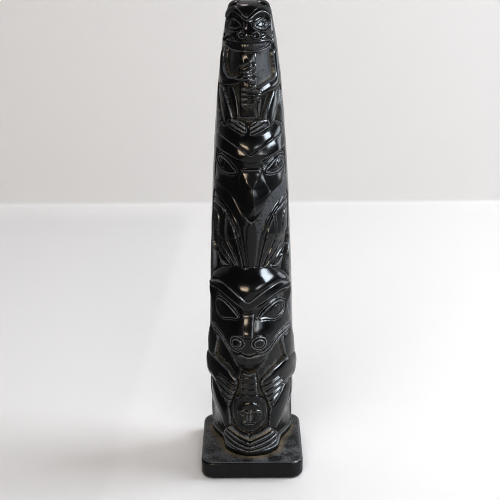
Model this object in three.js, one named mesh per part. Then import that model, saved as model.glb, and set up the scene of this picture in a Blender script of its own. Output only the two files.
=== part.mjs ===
// A small souvenir totem pole of black cast resin that stands on a square plinth.
// Millimetres, +Z up. The carved face looks along -Y, and the origin is the centre of the plinth's underside.
//
// The pole is a plain blank with a D-shaped section that tapers upwards. Three figures are carved in relief
// on its round front: a bear that holds a small figure, a raven with folded wings, and a bear cub that holds
// a staff. The carving is drawn on the blank's unrolled face: s runs across it from the middle, along the
// surface, and z runs up. A relief height is measured outwards from the blank's plain surface. The figures
// are symmetrical, so most shapes give their right half alone.

import * as THREE from "three";
import { SimplifyModifier } from "three/addons/modifiers/SimplifyModifier.js";
import { mergeVertices } from "three/addons/utils/BufferGeometryUtils.js";

// Driving dimensions of the plinth and of the blank

const TOTAL_HEIGHT = 127;
const PLINTH_SIDE = 28;
const PLINTH_HEIGHT = 5.3;
const PLINTH_CORNER = 3.6;
const PLINTH_EDGE = 1.1;

const FOOT_HALF_WIDTH = 11.6;
const TAPER_FROM = 30; // the blank keeps its full width below this height
const TAPER_LINEAR = 1.6;
const TAPER_SQUARE = 3.1;
const TAPER_CROWN = 1.9; // the extra narrowing just below the top
const CROWN_POWER = 7;
const FACE_DEPTH = 1.35; // the front's depth over its half-width
const BACK_DEPTH = 0.53; // the back's depth over the half-width
const BACK_SQUARENESS = 4;
const AXIS_SHIFT = 0.4; // how far behind the middle the widest place is, over the half-width
const CAP_FROM = 123.8; // the crown rounds over from this height up
const CAP_POWER = 3;
const FOREHEAD_FROM = 120; // the face leans back from this height up
const FOREHEAD_POWER = 2.2;

const CARVED_EDGE = 1.32; // where the carving stops at the plain back, in half-widths along the face
const CARVED_TOP = 119.5; // the plain back ends behind the cub's head
const GROUND = -1.3; // the background that the figures stand out from
const FADE_HEIGHT = 1.2; // the relief dies away on the crown
const WAIST_TOP = 20; // below this the plain sides draw in above the foot
const WAIST_BOTTOM = 12;
const WAIST = 1;
const WAIST_REACH = 25; // how far round the waist runs
const WAIST_FADE = 4;
const FOOT_DRAW = 2; // the foot draws in towards its sides, like the bow of a boat
const FOOT_DRAW_TOP = 20;
const FOOT_DRAW_BOTTOM = 7;
const FOOT_DRAW_ROUND = [[22, 0], [18, 0.65], [15, 1], [12, 0.75], [9, 0.2], [5, 0]];

const BEAR_SHIFT = -0.75; // each figure sits a little off the middle, as it was cut by hand
const RAVEN_SHIFT = 0.15;
const CUB_SHIFT = -0.6;

const RELIEF_ANGLE = 0.8 * Math.PI; // no figure reaches further round than this
const POLE_COLUMNS = 240;
const POLE_ROWS = 600;
const CAP_ROWS = 50;
const POLE_VERTICES = 4300;

// Lines and distances on the unrolled face

const STEPS_PER_POINT = 4;
const REACH = 3; // a line has no effect further away than this

const smooth = (v) => THREE.MathUtils.smoothstep(v, 0, 1);

// A smooth line through the points, open or closed.
function drawn(points, closed) {
  const places = points.map(([s, z]) => new THREE.Vector3(s, z, 0));
  const curve = new THREE.CatmullRomCurve3(places, closed, "centripetal");
  const path = curve.getPoints(points.length * STEPS_PER_POINT);
  return { path, closed, box: new THREE.Box3().setFromPoints(path) };
}

const stroke = (points) => drawn(points, false);
const outline = (points) => drawn(points, true);

// A closed outline from its right half, which starts and ends on the middle line.
function wholeOutline(rightHalf) {
  const leftHalf = rightHalf.filter(([s]) => s > 0).map(([s, z]) => [-s, z]);
  return outline([...rightHalf, ...leftHalf.reverse()]);
}

// How far (s, z) is inside a closed outline, or minus its distance from the line.
function inside({ path, closed, box }, s, z) {
  if (s < box.min.x - REACH || s > box.max.x + REACH) return -REACH;
  if (z < box.min.y - REACH || z > box.max.y + REACH) return -REACH;
  let nearest = Infinity;
  let within = false;
  for (let i = 1; i < path.length; i++) {
    const [a, b] = [path[i - 1], path[i]];
    const [ds, dz] = [b.x - a.x, b.y - a.y];
    const along = ((s - a.x) * ds + (z - a.y) * dz) / (ds * ds + dz * dz || 1);
    const t = THREE.MathUtils.clamp(along, 0, 1);
    nearest = Math.min(nearest, Math.hypot(s - a.x - t * ds, z - a.y - t * dz));
    if (closed && a.y > z !== b.y > z && s < a.x + ((z - a.y) / dz) * ds) within = !within;
  }
  return within ? nearest : -nearest;
}

// A value that changes with z, smooth between its knots, which run from the top down.
function profile(knots, z) {
  const last = knots.length - 1;
  if (z >= knots[0][0]) return knots[0][1];
  if (z <= knots[last][0]) return knots[last][1];
  const i = knots.findIndex(([level]) => level <= z) - 1;
  const slope = (j) => {
    const [above, below] = [knots[Math.max(j - 1, 0)], knots[Math.min(j + 1, last)]];
    return (below[1] - above[1]) / (below[0] - above[0]);
  };
  const [[z0, v0], [z1, v1]] = [knots[i], knots[i + 1]];
  const span = z1 - z0;
  const t = (z - z0) / span;
  const bend = (1 - t) * slope(i) - t * slope(i + 1);
  const straight = ((1 - 2 * t) * (v1 - v0)) / span;
  return v0 + (v1 - v0) * t + t * (1 - t) * span * (bend - straight);
}

// Ways to carve

const WALL = 0.5; // the usual width of the wall around a form

// The rounding of a form near its outline, from -drop at the rim to 0 at the radius.
function rounded(depth, radius, drop) {
  const t = THREE.MathUtils.clamp(1 - depth / radius, 0, 1);
  return -drop * (1 - Math.sqrt(1 - t * t));
}

// Puts a form over h. Its level is a height or a function of the place. Its top rounds off near the outline.
function raise(h, depth, form, s, z) {
  const { level, lift = 0, wall = WALL, radius, drop } = form;
  const height = typeof level === "function" ? level(s, z) : level;
  return h + (height + lift + rounded(depth, radius, drop) - h) * smooth(depth / wall + 0.5);
}

const carve = (h, form, s, z) => raise(h, inside(form.shape, s, z), form, s, z);

// A cut line with a round section, at minus its distance from the place.
const groove = (distance, halfWidth, depth) => -depth * smooth(1 + distance / halfWidth);

function engrave(h, { lines, halfWidth, depth }, s, z) {
  return lines.reduce((cut, line) => cut + groove(inside(line, s, z), halfWidth, depth), h);
}

// Cut lines across a form at equal or chosen heights.
function rings(h, { heights, halfWidth, depth }, z) {
  return heights.reduce((cut, height) => cut + groove(-Math.abs(z - height), halfWidth, depth), h);
}

// A raised line with a round section.
function ridge({ line, halfWidth, height }, s, z) {
  const t = Math.min(-inside(line, s, z) / halfWidth, 1);
  return height * Math.sqrt(1 - t * t);
}

// A low round boss.
function dome({ centre, radii, height }, s, z) {
  const r = Math.hypot((s - centre[0]) / radii[0], (z - centre[1]) / radii[1]);
  return r < 1 ? height * Math.sqrt(1 - r * r) : 0;
}

// A round swelling whose rim runs out softly into its surroundings.
function swell({ centre, radii, height, softness }, s, z) {
  const rise = 1 - ((s - centre[0]) / radii[0]) ** 2 - ((z - centre[1]) / radii[1]) ** 2;
  return (height * (rise + Math.hypot(rise, softness))) / 2;
}

const LID = { halfWidth: 0.38, height: 0.28 };
const LID_GROOVE_DEPTH = 0.4;
const IRIS = { halfWidth: 0.28, depth: 0.15 };

// An eye in its socket: the hollow, the almond in its groove, its lids and the iris.
function eye(h0, { socket, almond, iris }, s, z) {
  const depth = inside(almond.shape, s, z);
  let h = carve(h0, socket, s, z);
  h += groove(-Math.abs(depth + LID.halfWidth), LID.halfWidth, LID_GROOVE_DEPTH);
  h = raise(h, depth, almond, s, z);
  const t = Math.min(Math.abs(depth) / LID.halfWidth, 1);
  h += LID.height * Math.sqrt(1 - t * t);
  const fromRing = Math.hypot(s - iris.centre[0], z - iris.centre[1]) - iris.radius;
  return depth > LID.halfWidth / 2 ? h + groove(-Math.abs(fromRing), IRIS.halfWidth, IRIS.depth) : h;
}

// The blank

function halfWidth(z) {
  const t = Math.max(0, (z - TAPER_FROM) / (TOTAL_HEIGHT - TAPER_FROM));
  return FOOT_HALF_WIDTH - TAPER_LINEAR * t - TAPER_SQUARE * t * t - TAPER_CROWN * t ** CROWN_POWER;
}

// How far the section has closed in towards the top, from 1 to 0.
function closing(z, from, power) {
  const t = Math.max(0, (z - from) / (TOTAL_HEIGHT - from));
  return Math.max(0, 1 - t ** power) ** (1 / power);
}

// The section at one height: a half ellipse in front, and a squarer curve at the back.
function blankPoint(angle, z, target) {
  const w = halfWidth(z);
  const r = w * closing(z, CAP_FROM, CAP_POWER);
  const front = w * closing(z, FOREHEAD_FROM, FOREHEAD_POWER);
  const [sin, cos] = [Math.sin(angle), Math.cos(angle)];
  const axis = AXIS_SHIFT * w;
  if (cos >= 0) return target.set(r * sin, axis - FACE_DEPTH * front * cos, z);
  const power = 2 / BACK_SQUARENESS;
  const side = Math.sign(sin) * Math.abs(sin) ** power;
  return target.set(r * side, axis + BACK_DEPTH * r * Math.abs(cos) ** power, z);
}

// The distance along the section from the middle of the face, over the half-width.
function faceLength(angle) {
  const steps = 24;
  let length = 0;
  for (let i = 0; i < steps; i++) {
    const a = (angle * (i + 0.5)) / steps;
    length += Math.hypot(Math.cos(a), FACE_DEPTH * Math.sin(a));
  }
  return (length * angle) / steps;
}

// The bear at the foot of the pole

const footLedge = { top: 6.9, level: -0.25, radius: 0.9, drop: 0.4 };

const bearLevels = [
  [60.2, -2], [58, -0.65], [56, 0.35], [54.5, 0.8], [53, 0.98], [51.5, 0.95], [50, 0.75], [48, 0.2], [46, 0.15],
  [43, 0.4], [40, 0.4], [37, 0.3], [34, 0.1], [32, -0.6], [30.5, -1.2],
];
const bearHead = {
  shape: wholeOutline([
    [0, 60], [6, 60], [10.5, 59], [13.5, 56.6], [14.7, 53], [14.9, 47], [14.9, 42.4], [13.8, 39.9],
    [10.6, 39.3], [8.6, 38.6], [6.3, 37], [4.2, 34.7], [2.6, 32], [0, 30.5],
  ]),
  level: (s, z) => profile(bearLevels, z),
  wall: 0.6,
  radius: 1.6,
  drop: 0.45,
};
const bearBrowTop = [[0, 51.7], [2.2, 53.4], [3.8, 54.5], [6.5, 55.6], [9.5, 55.7], [12.6, 54.8]];
const bearBrow = {
  shape: wholeOutline([
    ...bearBrowTop, [13.6, 54], [12.4, 53.1], [10, 53.5], [7.2, 53.2], [4.8, 52.1], [2.4, 50.6], [0, 48.9],
  ]),
  level: bearHead.level,
  lift: 0.3,
  wall: 0.4,
  radius: 0.5,
  drop: 0.1,
};
const bearForehead = {
  shape: wholeOutline([...bearBrowTop, [13.4, 56.4], [10.5, 58.9], [6, 60], [0, 60.1]]),
  level: bearHead.level,
  lift: 0.15,
  wall: 0.4,
  radius: 2.2,
  drop: 0.45,
};
const bearEye = {
  socket: {
    shape: outline([
      [2.3, 49.4], [4.8, 51.5], [7.2, 52.6], [10, 52.9], [12.8, 52.2], [13.2, 50], [12.4, 48],
      [10.8, 46.6], [8.6, 46], [6, 46.4], [3.6, 47.2],
    ]),
    level: -0.4,
    wall: 2,
    radius: 1,
    drop: 0,
  },
  almond: {
    shape: outline([
      [3, 46.7], [4.4, 48.3], [6.2, 49.5], [8.4, 50.2], [10.6, 50], [12, 48.8], [11.4, 47.1], [9.6, 46],
      [7.2, 45.8], [4.8, 46.4],
    ]),
    level: 0.05,
    wall: 0.35,
    radius: 1.6,
    drop: 0.5,
  },
  iris: { centre: [8.6, 48], radius: 1.35 },
};
const bearMuzzle = { centre: [0, 40], radii: [7.5, 7], height: 1.4, softness: 0.25 };
const bearNose = {
  halfWidths: [[48.4, 1.45], [45, 1.25], [42.4, 1.1]],
  heights: [[48.3, 0], [47.8, 0.7], [45, 0.85], [42.6, 1.05], [42, 0.6], [41.3, 0.1], [40.8, 0]],
  side: 0.5,
};
const bearNostril = { centre: [2.5, 40.3], radii: [1.95, 1.95], height: 0.7 };
const bearNostrilRing = { radius: 1.4, halfWidth: 0.4, depth: 0.55 };
const bearLip = {
  lines: [stroke([[1.7, 37.4], [3.5, 38], [5.4, 39.1], [7.6, 40.8], [10.2, 42], [14.6, 42.2]])],
  halfWidth: 0.38,
  depth: 0.38,
};
const bearMouth = {
  lines: [
    stroke([[1.9, 36.9], [3.9, 37], [5.8, 38.1], [7.8, 39.7], [10.4, 40.8], [14.4, 41]]),
    stroke([[0, 36.5], [1, 36.7], [2, 37.2]]),
  ],
  halfWidth: 0.42,
  depth: 0.55,
};
const bearLowerLip = { line: stroke([[0, 35.6], [1, 35.8], [1.9, 36.5]]), halfWidth: 0.6, height: 0.45 };

const bearChest = {
  shape: outline([
    [2.2, 31.3], [4, 33.3], [6, 36], [8, 38], [10.3, 38.8], [11.4, 36.5], [12.6, 33.3], [9.4, 32.2],
    [6.6, 31.3], [4.6, 29.7], [3, 28.4], [2.5, 29.8],
  ]),
  level: -0.75,
  radius: 1,
  drop: 0,
};
const bearUpperArm = {
  shape: outline([
    [10.6, 38.9], [13.4, 40.5], [15.4, 41.2], [18, 39.6], [20.8, 35.6], [22.4, 31], [21, 27.6], [15, 30.6],
    [12.7, 32.9], [11.4, 36.2],
  ]),
  level: 0.7,
  radius: 4,
  drop: 1,
};
const forearmLevels = [[18, 1.1], [13, 0.7], [8, 0.45]]; // across the face: the elbow stands out the furthest
const bearForearm = {
  shape: outline([
    [3.5, 28.2], [5, 29.5], [6.7, 30.8], [9.4, 31.7], [12.7, 32.4], [17, 31.8], [20.6, 31],
    [22.4, 28.6], [21, 26], [18, 24.9], [14, 25.2], [11, 24], [8.6, 21.6], [6.4, 19.3], [5.5, 21.4],
    [4.5, 23.8], [3.5, 26],
  ]),
  level: (s) => profile(forearmLevels, s),
  radius: 2.6,
  drop: 0.9,
};
const bearFingers = {
  lines: [
    stroke([[3.5, 26.5], [6, 27.6], [9, 28.5]]),
    stroke([[4.3, 24.9], [7, 26.1], [10.2, 27]]),
    stroke([[4.9, 23.3], [8, 24.6], [11, 25.5]]),
    stroke([[5.5, 21.6], [8.4, 23], [11.2, 24]]),
  ],
  halfWidth: 0.6,
  depth: 0.45,
};
const bearLeg = {
  shape: outline([
    [6.2, 17], [6.9, 19.6], [9, 21.3], [11.8, 23.5], [14.6, 24.6], [17.4, 23.8], [17.6, 21], [16, 18],
    [13.8, 15.2], [11.2, 13.1], [9, 11.6], [7.5, 10.9], [6.3, 12], [6, 14],
  ]),
  level: 0.15,
  radius: 3,
  drop: 0.9,
};
const bearFoot = {
  shape: outline([[0, 11.2], [2.7, 12.3], [6.2, 13.6], [8.4, 11.6], [9.6, 10.2], [8, 8.2], [4, 7], [0, 6.4]]),
  level: 0.1,
  radius: 1.4,
  drop: 0.5,
};
const bearToes = {
  lines: [
    stroke([[0, 9.9], [2.7, 11], [6, 12.2]]),
    stroke([[0, 8.6], [3, 9.5], [7.4, 11]]),
    stroke([[0, 7.4], [4, 8.2], [8.6, 9.6]]),
  ],
  halfWidth: 0.5,
  depth: 0.55,
};
const bearToeRolls = [
  stroke([[0, 9.25], [2.9, 10.25], [6.8, 11.6]]),
  stroke([[0, 8], [3.5, 8.9], [8, 10.3]]),
  stroke([[0, 6.9], [4, 7.6], [8.4, 8.9]]),
].map((line) => ({ line, halfWidth: 0.62, height: 0.4 }));
const bearInstep = { line: stroke([[0, 10.6], [2.7, 11.8], [6, 13]]), halfWidth: 0.55, height: 0.3 };

function bear(h0, sFace, z) {
  const s = Math.abs(sFace - BEAR_SHIFT);
  let h = raise(h0, footLedge.top - z, footLedge, s, z);
  h = carve(h, bearLeg, s, z);
  const foot = inside(bearFoot.shape, s, z);
  h = raise(h, foot, bearFoot, s, z);
  if (foot > 0) h = engrave(h, bearToes, s, z);
  for (const roll of bearToeRolls) h += ridge(roll, s, z);
  h += ridge(bearInstep, s, z);
  h = smallFigure(h, s, z);
  h = carve(h, bearChest, s, z);
  h = carve(h, bearUpperArm, s, z);
  const forearm = inside(bearForearm.shape, s, z);
  h = raise(h, forearm, bearForearm, s, z);
  if (forearm > 0) h = engrave(h, bearFingers, s, z);
  const head = inside(bearHead.shape, s, z);
  h = raise(h, head, bearHead, s, z);
  return head > 0 ? bearFace(h, s, z) : h;
}

function bearFace(h0, s, z) {
  let h = eye(h0, bearEye, s, z);
  h = carve(h, bearBrow, s, z);
  h = carve(h, bearForehead, s, z);
  const besideNose = profile(bearNose.halfWidths, z) - s;
  h += profile(bearNose.heights, z) * smooth(besideNose / bearNose.side + 0.5);
  h += swell(bearMuzzle, s, z) + dome(bearNostril, s, z);
  const fromNostril = Math.hypot(s - bearNostril.centre[0], z - bearNostril.centre[1]);
  const fromRing = fromNostril - bearNostrilRing.radius;
  h += groove(-Math.abs(fromRing), bearNostrilRing.halfWidth, bearNostrilRing.depth);
  h = engrave(h, bearLip, s, z);
  h = engrave(h, bearMouth, s, z);
  return h + ridge(bearLowerLip, s, z);
}

// The small figure that the bear holds, with a hat of stacked rings

const smallHair = {
  shape: wholeOutline([[0, 23.2], [4.2, 22.8], [5.3, 20], [5, 16.4], [3.5, 14.2], [0, 12.8]]),
  level: -0.35,
  radius: 1,
  drop: 0.3,
};
const hat = { level: 0.1, wall: 0.4, radius: 1.2, drop: 0.4, top: 30.8, bottom: 22 };
const hatHalfWidths = [[30.6, 2.1], [28, 2.3], [24, 2.6], [22.9, 3.4], [22.1, 3.5]];
const hatRings = { heights: [29.6, 27.8, 26, 24.3], halfWidth: 0.45, depth: 0.4 };

// The face is a plain calm one on the proportions of a drawing book: equal thirds from the brim to the brows,
// to the base of the nose and to the chin, and five eye widths across.
const FACE_TOP = 22.2;
const CHIN = 14.1;
const FACE_HALF_WIDTH = 3.9;
const FACE_THIRD = (FACE_TOP - CHIN) / 3;
const BROWS = FACE_TOP - FACE_THIRD;
const NOSE_BASE = CHIN + FACE_THIRD;
const MOUTH = NOSE_BASE - FACE_THIRD / 3;
const EYE_WIDTH = (2 * FACE_HALF_WIDTH) / 5;
const EYES = BROWS - 0.7;
const JAW_NARROWING = 0.16;
const EGG_STEPS = 12;

// The right half of an egg-shaped outline, from the top to the chin.
function egg() {
  const [middle, half] = [(FACE_TOP + CHIN) / 2, (FACE_TOP - CHIN) / 2];
  return Array.from({ length: EGG_STEPS + 1 }, (_, i) => {
    const turn = (Math.PI * i) / EGG_STEPS;
    const narrowing = 1 - (JAW_NARROWING * (1 - Math.cos(turn))) / 2;
    const across = i % EGG_STEPS === 0 ? 0 : FACE_HALF_WIDTH * Math.sin(turn) * narrowing;
    return [across, middle + half * Math.cos(turn)];
  });
}

const smallFace = { shape: wholeOutline(egg()), level: 0.35, wall: 0.4, radius: 1.6, drop: 0.6 };
const smallBrow = {
  line: stroke([[0.45, BROWS - 0.15], [EYE_WIDTH, BROWS + 0.1], [1.9 * EYE_WIDTH, BROWS - 0.25]]),
  halfWidth: 0.5,
  height: 0.28,
};
const smallSocket = { centre: [EYE_WIDTH, EYES], radii: [1.1, 0.62], height: -0.35 };
const smallEyeball = { centre: [EYE_WIDTH, EYES], radii: [EYE_WIDTH / 2, 0.4], height: 0.36 };
const smallNose = {
  halfWidth: EYE_WIDTH / 2,
  side: 0.5,
  heights: [[BROWS, 0], [BROWS - 0.6, 0.3], [NOSE_BASE + 0.6, 0.75], [NOSE_BASE, 0.5], [NOSE_BASE - 0.4, 0]],
};
const smallMouth = {
  lines: [stroke([[0, MOUTH], [0.7, MOUTH + 0.02], [1.4, MOUTH + 0.08]])],
  halfWidth: 0.3,
  depth: 0.35,
};

function smallFigure(h0, s, z) {
  let h = carve(h0, smallHair, s, z);
  const hatDepth = Math.min(profile(hatHalfWidths, z) - s, hat.top - z, z - hat.bottom);
  h = raise(h, hatDepth, hat, s, z);
  if (hatDepth > 0) h = rings(h, hatRings, z);
  const face = inside(smallFace.shape, s, z);
  h = raise(h, face, smallFace, s, z);
  if (face < 0) return h;
  h += ridge(smallBrow, s, z) + dome(smallSocket, s, z) + dome(smallEyeball, s, z);
  h += profile(smallNose.heights, z) * smooth((smallNose.halfWidth - s) / smallNose.side + 0.3);
  return engrave(h, smallMouth, s, z);
}

// The raven in the middle

const ravenLevels = [
  [98.5, -1.7], [97, -0.8], [95, 0.1], [93, 0.75], [91.5, 1.05], [90, 1.15], [88, 0.45], [86, 0.15], [83, 0.2],
  [80, 0.35], [76, 0.25], [73.2, -0.5],
];
const ravenFlatness = { amount: 0.01, reach: 12.5 };
const ravenTemples = { from: 6, to: 12, loss: 0.75 };

// The head is flatter in front than the blank, and its forehead dies away at the temples.
function ravenLevel(s, z) {
  const { from, to, loss } = ravenTemples;
  const { amount, reach } = ravenFlatness;
  const flat = amount * s * s * Math.max(0, 1 - (s / reach) ** 2);
  return profile(ravenLevels, z) * (1 - loss * smooth((s - from) / (to - from))) + flat;
}

const ravenHead = {
  shape: wholeOutline([
    [0, 98.3], [5, 98.5], [9.5, 98], [11.8, 96], [12.7, 92], [13, 87], [13.3, 84.2], [12.6, 82.9],
    [10, 81.6], [6, 80.3], [4.5, 78.8], [3, 76.5], [1.8, 74.8], [0, 73.1],
  ]),
  level: ravenLevel,
  wall: 0.6,
  radius: 1.6,
  drop: 0.4,
};
const ravenBrowTop = [[0, 90.5], [2, 92], [4.4, 93.4], [7.2, 94.4], [10.6, 94.9]];
const ravenBrow = {
  shape: wholeOutline([
    ...ravenBrowTop, [12.6, 94.6], [12.8, 91.9], [8, 91.2], [5.2, 90.4], [2.7, 89.2], [0, 88.5],
  ]),
  level: ravenLevel,
  lift: 0.28,
  wall: 0.4,
  radius: 0.5,
  drop: 0.1,
};
const ravenForehead = {
  shape: wholeOutline([...ravenBrowTop, [12.2, 94.7], [11.6, 96.4], [9.4, 97.8], [5, 98.4], [0, 98.3]]),
  level: ravenLevel,
  lift: 0.15,
  wall: 0.4,
  radius: 2,
  drop: 0.4,
};
const ravenEye = {
  socket: {
    shape: outline([
      [2.8, 88.3], [5.2, 90.1], [8, 90.9], [11.6, 91.4], [12.6, 89.4], [12, 87], [10.2, 85.8], [7, 85.6],
      [4.2, 86.4],
    ]),
    level: -0.35,
    wall: 1.8,
    radius: 1,
    drop: 0,
  },
  almond: {
    shape: outline([
      [4, 85.9], [5.4, 87.2], [7.1, 88.3], [9.3, 88.9], [11.4, 88.5], [12.2, 87.4], [10.8, 86.2], [8.2, 85.5],
      [5.6, 85.4],
    ]),
    level: 0.05,
    wall: 0.35,
    radius: 1.6,
    drop: 0.45,
  },
  iris: { centre: [9.2, 87.3], radius: 1.15 },
};
const beak = {
  heights: [[87.1, 0], [86.6, 0.9], [84, 1.4], [80, 1.9], [77.2, 1.95], [75.2, 1.2], [73.4, 0.2], [73, 0]],
  flats: [[87, 2.1], [84, 1.2], [81.7, 0.1], [73, 0.1]], // the half-width of the flat along the top
  halfWidths: [[87.2, 2.5], [84, 3.4], [80, 5], [77.5, 3.8], [75, 2.2], [73, 1]],
  lean: [[87, 0], [82, 0.2], [77, 0.6], [73, 0.6]], // how far the ridge strays to the right
};

const wingLevels = [[72, 0], [68, -0.5], [64, -1], [60.4, -1.9]];
const tail = {
  halfWidth: 2.4,
  bottom: 59.5,
  top: 74,
  level: (s, z) => profile(wingLevels, z),
  lift: 0.15,
  radius: 1,
  drop: 0,
};
const wingLower = {
  shape: outline([
    [1.3, 60.2], [2, 65.5], [2.9, 70.5], [6, 71], [13, 71], [15, 68], [15.3, 64], [13.4, 61.2], [9, 59.9],
  ]),
  level: tail.level,
  radius: 1.5,
  drop: 0.3,
};
const lowerFeathers = {
  lines: [
    stroke([[2.6, 60.2], [3.1, 64], [4.2, 68.4]]),
    stroke([[4.4, 60.2], [5.6, 63.5], [7.6, 67]]),
    stroke([[5.6, 60.2], [7.4, 62.8], [10.5, 65.8]]),
    stroke([[7.6, 60.3], [10, 62.3], [14.6, 64.7]]),
  ],
  halfWidth: 0.6,
  depth: 0.4,
};
const wingUpper = {
  shape: outline([
    [2.9, 69.5], [3.4, 71.9], [4.3, 73.8], [6.4, 76], [9.3, 77.8], [13.2, 79.3], [15, 78], [15.2, 73],
    [14.2, 68.8], [11, 67.4], [8, 67.1], [5.5, 67.9], [4, 68.3],
  ]),
  level: 0,
  radius: 1.8,
  drop: 0.5,
};
const upperFeathers = {
  lines: [
    stroke([[3.9, 68.4], [4.6, 71], [6.2, 73.8], [8, 75.5], [11, 76.6], [14.8, 77]]),
    stroke([[7.4, 67.2], [7.4, 70.5], [7, 74]]),
    stroke([[11, 67.5], [10.6, 71], [11.5, 74], [14.8, 75.4]]),
  ],
  halfWidth: 0.6,
  depth: 0.45,
};
const wingBand = {
  shape: outline([
    [0.5, 73.5], [1.8, 74.9], [3, 76.6], [4.5, 78.9], [6, 80.4], [10, 81.7], [13.6, 82.7],
    [13.4, 79.4], [9.3, 77.8], [6.4, 76], [4.3, 73.8], [3.4, 71.9], [2.8, 70], [2.1, 66], [1.4, 60.4],
    [1, 60.4], [1.4, 66], [1.2, 71],
  ]),
  level: tail.level,
  lift: 0.15,
  wall: 0.4,
  radius: 0.9,
  drop: 0.3,
};

function raven(h0, sFace, z) {
  const side = sFace - RAVEN_SHIFT;
  const s = Math.abs(side);
  let h = raise(h0, Math.min(tail.halfWidth - s, z - tail.bottom, tail.top - z), tail, s, z);
  const lower = inside(wingLower.shape, s, z);
  h = raise(h, lower, wingLower, s, z);
  if (lower > 0) h = engrave(h, lowerFeathers, s, z);
  const upper = inside(wingUpper.shape, s, z);
  h = raise(h, upper, wingUpper, s, z);
  if (upper > 0) h = engrave(h, upperFeathers, s, z);
  h = carve(h, wingBand, s, z);
  const head = inside(ravenHead.shape, s, z);
  h = raise(h, head, ravenHead, s, z);
  return head > 0 ? ravenFace(h, side, z) : h;
}

function ravenFace(h0, side, z) {
  const s = Math.abs(side);
  let h = eye(h0, ravenEye, s, z);
  h = carve(h, ravenBrow, s, z);
  h = carve(h, ravenForehead, s, z);
  const [flat, reach] = [profile(beak.flats, z), profile(beak.halfWidths, z)];
  const fromRidge = Math.abs(side - profile(beak.lean, z));
  return h + profile(beak.heights, z) * THREE.MathUtils.clamp((reach - fromRidge) / (reach - flat), 0, 1);
}

// The bear cub at the top

const cubLevels = [
  [127, 0.2], [125.6, 0.2], [124, 0.3], [122.5, 0.15], [120.5, 0.1], [118.5, 0.3], [116.5, 0.2],
  [115.2, -0.3],
];
const cubHead = {
  shape: wholeOutline([
    [0, 130], [9.2, 130], [9, 124], [8.6, 121], [8.5, 119], [7.8, 117.4], [6.6, 116.4], [5, 115.6],
    [3, 115.35], [0, 115.25],
  ]),
  level: (s, z) => profile(cubLevels, z),
  radius: 1.4,
  drop: 0.5,
};
const cubBrow = {
  shape: wholeOutline([
    [0, 123.6], [1.2, 124.4], [2.2, 125.1], [3.7, 125.75], [5, 125.6], [6.3, 124.9], [7.4, 123.5],
    [6.8, 122.9], [5.4, 124], [3.7, 124.5], [2.2, 124], [1, 123.1], [0, 122.6],
  ]),
  level: cubHead.level,
  lift: 0.4,
  wall: 0.3,
  radius: 0.45,
  drop: 0.12,
};
const cubEye = {
  socket: {
    shape: outline([
      [1, 122.5], [2.4, 123.7], [4, 124.2], [5.6, 123.9], [7, 122.9], [7.7, 121.4], [6.4, 120.5],
      [4.6, 120.3], [2.4, 120.7],
    ]),
    level: -0.35,
    wall: 1.2,
    radius: 1,
    drop: 0,
  },
  almond: {
    shape: outline([
      [1.6, 121.8], [2.6, 122.7], [4.2, 123.2], [5.8, 122.8], [7, 121.8], [6.1, 121.1], [4.6, 120.8],
      [2.8, 121.1],
    ]),
    level: -0.05,
    wall: 0.35,
    radius: 1.6,
    drop: 0.4,
  },
  iris: { centre: [5.1, 122.1], radius: 0.85 },
};
const cubSnout = {
  shift: 0.5, // the snout was cut a little off the head's middle
  heights: [[124, 0], [122.6, 0.3], [121.4, 0.8], [120.5, 1.2], [119.4, 1.3], [118.6, 0.7], [118, 0]],
  halfWidths: [[124, 0.6], [121.4, 1.3], [120.4, 2.3], [119, 2.5], [118, 2.3]],
  side: 1.5,
};
const cubNostril = { centre: [1.35, 119.5], radii: [0.8, 0.8], height: -0.5 };
const cubFlews = {
  line: stroke([[3.7, 118.8], [4.9, 119.2], [6.5, 118.7], [7.3, 117.8]]),
  halfWidth: 0.5,
  height: 0.35,
};
const cubMouth = {
  shape: wholeOutline([[0, 117.8], [4, 117.9], [6.2, 117.8], [6.6, 117.2], [5.4, 116.5], [3, 116], [0, 115.9]]),
  level: cubHead.level,
  lift: -0.35,
  wall: 0.35,
  radius: 1,
  drop: 0,
};
const ear = { centre: new THREE.Vector3(3.7, 1.2, 126.4), radius: 1.9, height: 0.45 };

const staff = { halfWidth: 2.5, bottom: 99.4, top: 116, level: -0.3, wall: 0.4, radius: 0.8, drop: 0.25 };
const armForm = { level: 0.5, wall: 0.4, radius: 2, drop: 0.95 };
const leftArm = outline([
  [-9.8, 115.6], [-8.8, 115.4], [-8.7, 113.2], [-7.9, 111], [-6.3, 109.6], [-4.2, 109.4], [-2, 110.2],
  [-1, 111.4], [0.4, 111], [0.8, 109.2], [-0.6, 108.6], [-2.4, 107.8], [-4.8, 107.2], [-8.4, 107],
  [-10.4, 108.4], [-11, 111], [-10.8, 114],
]);
const rightArm = outline([
  [9.6, 115.6], [8.3, 115.2], [8.5, 113], [8.9, 111.2], [8.9, 109.5], [8.2, 108.8], [5.9, 108.3], [3.6, 107.5],
  [2, 106.9], [1, 106.6], [0.8, 105], [1.6, 103.4], [3.4, 104.5], [5.9, 105.4], [9.4, 106], [11.4, 106.6],
  [12.2, 108.4], [11.8, 112],
]);
const finger = { halfWidth: 0.6, height: 0.6 };
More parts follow.
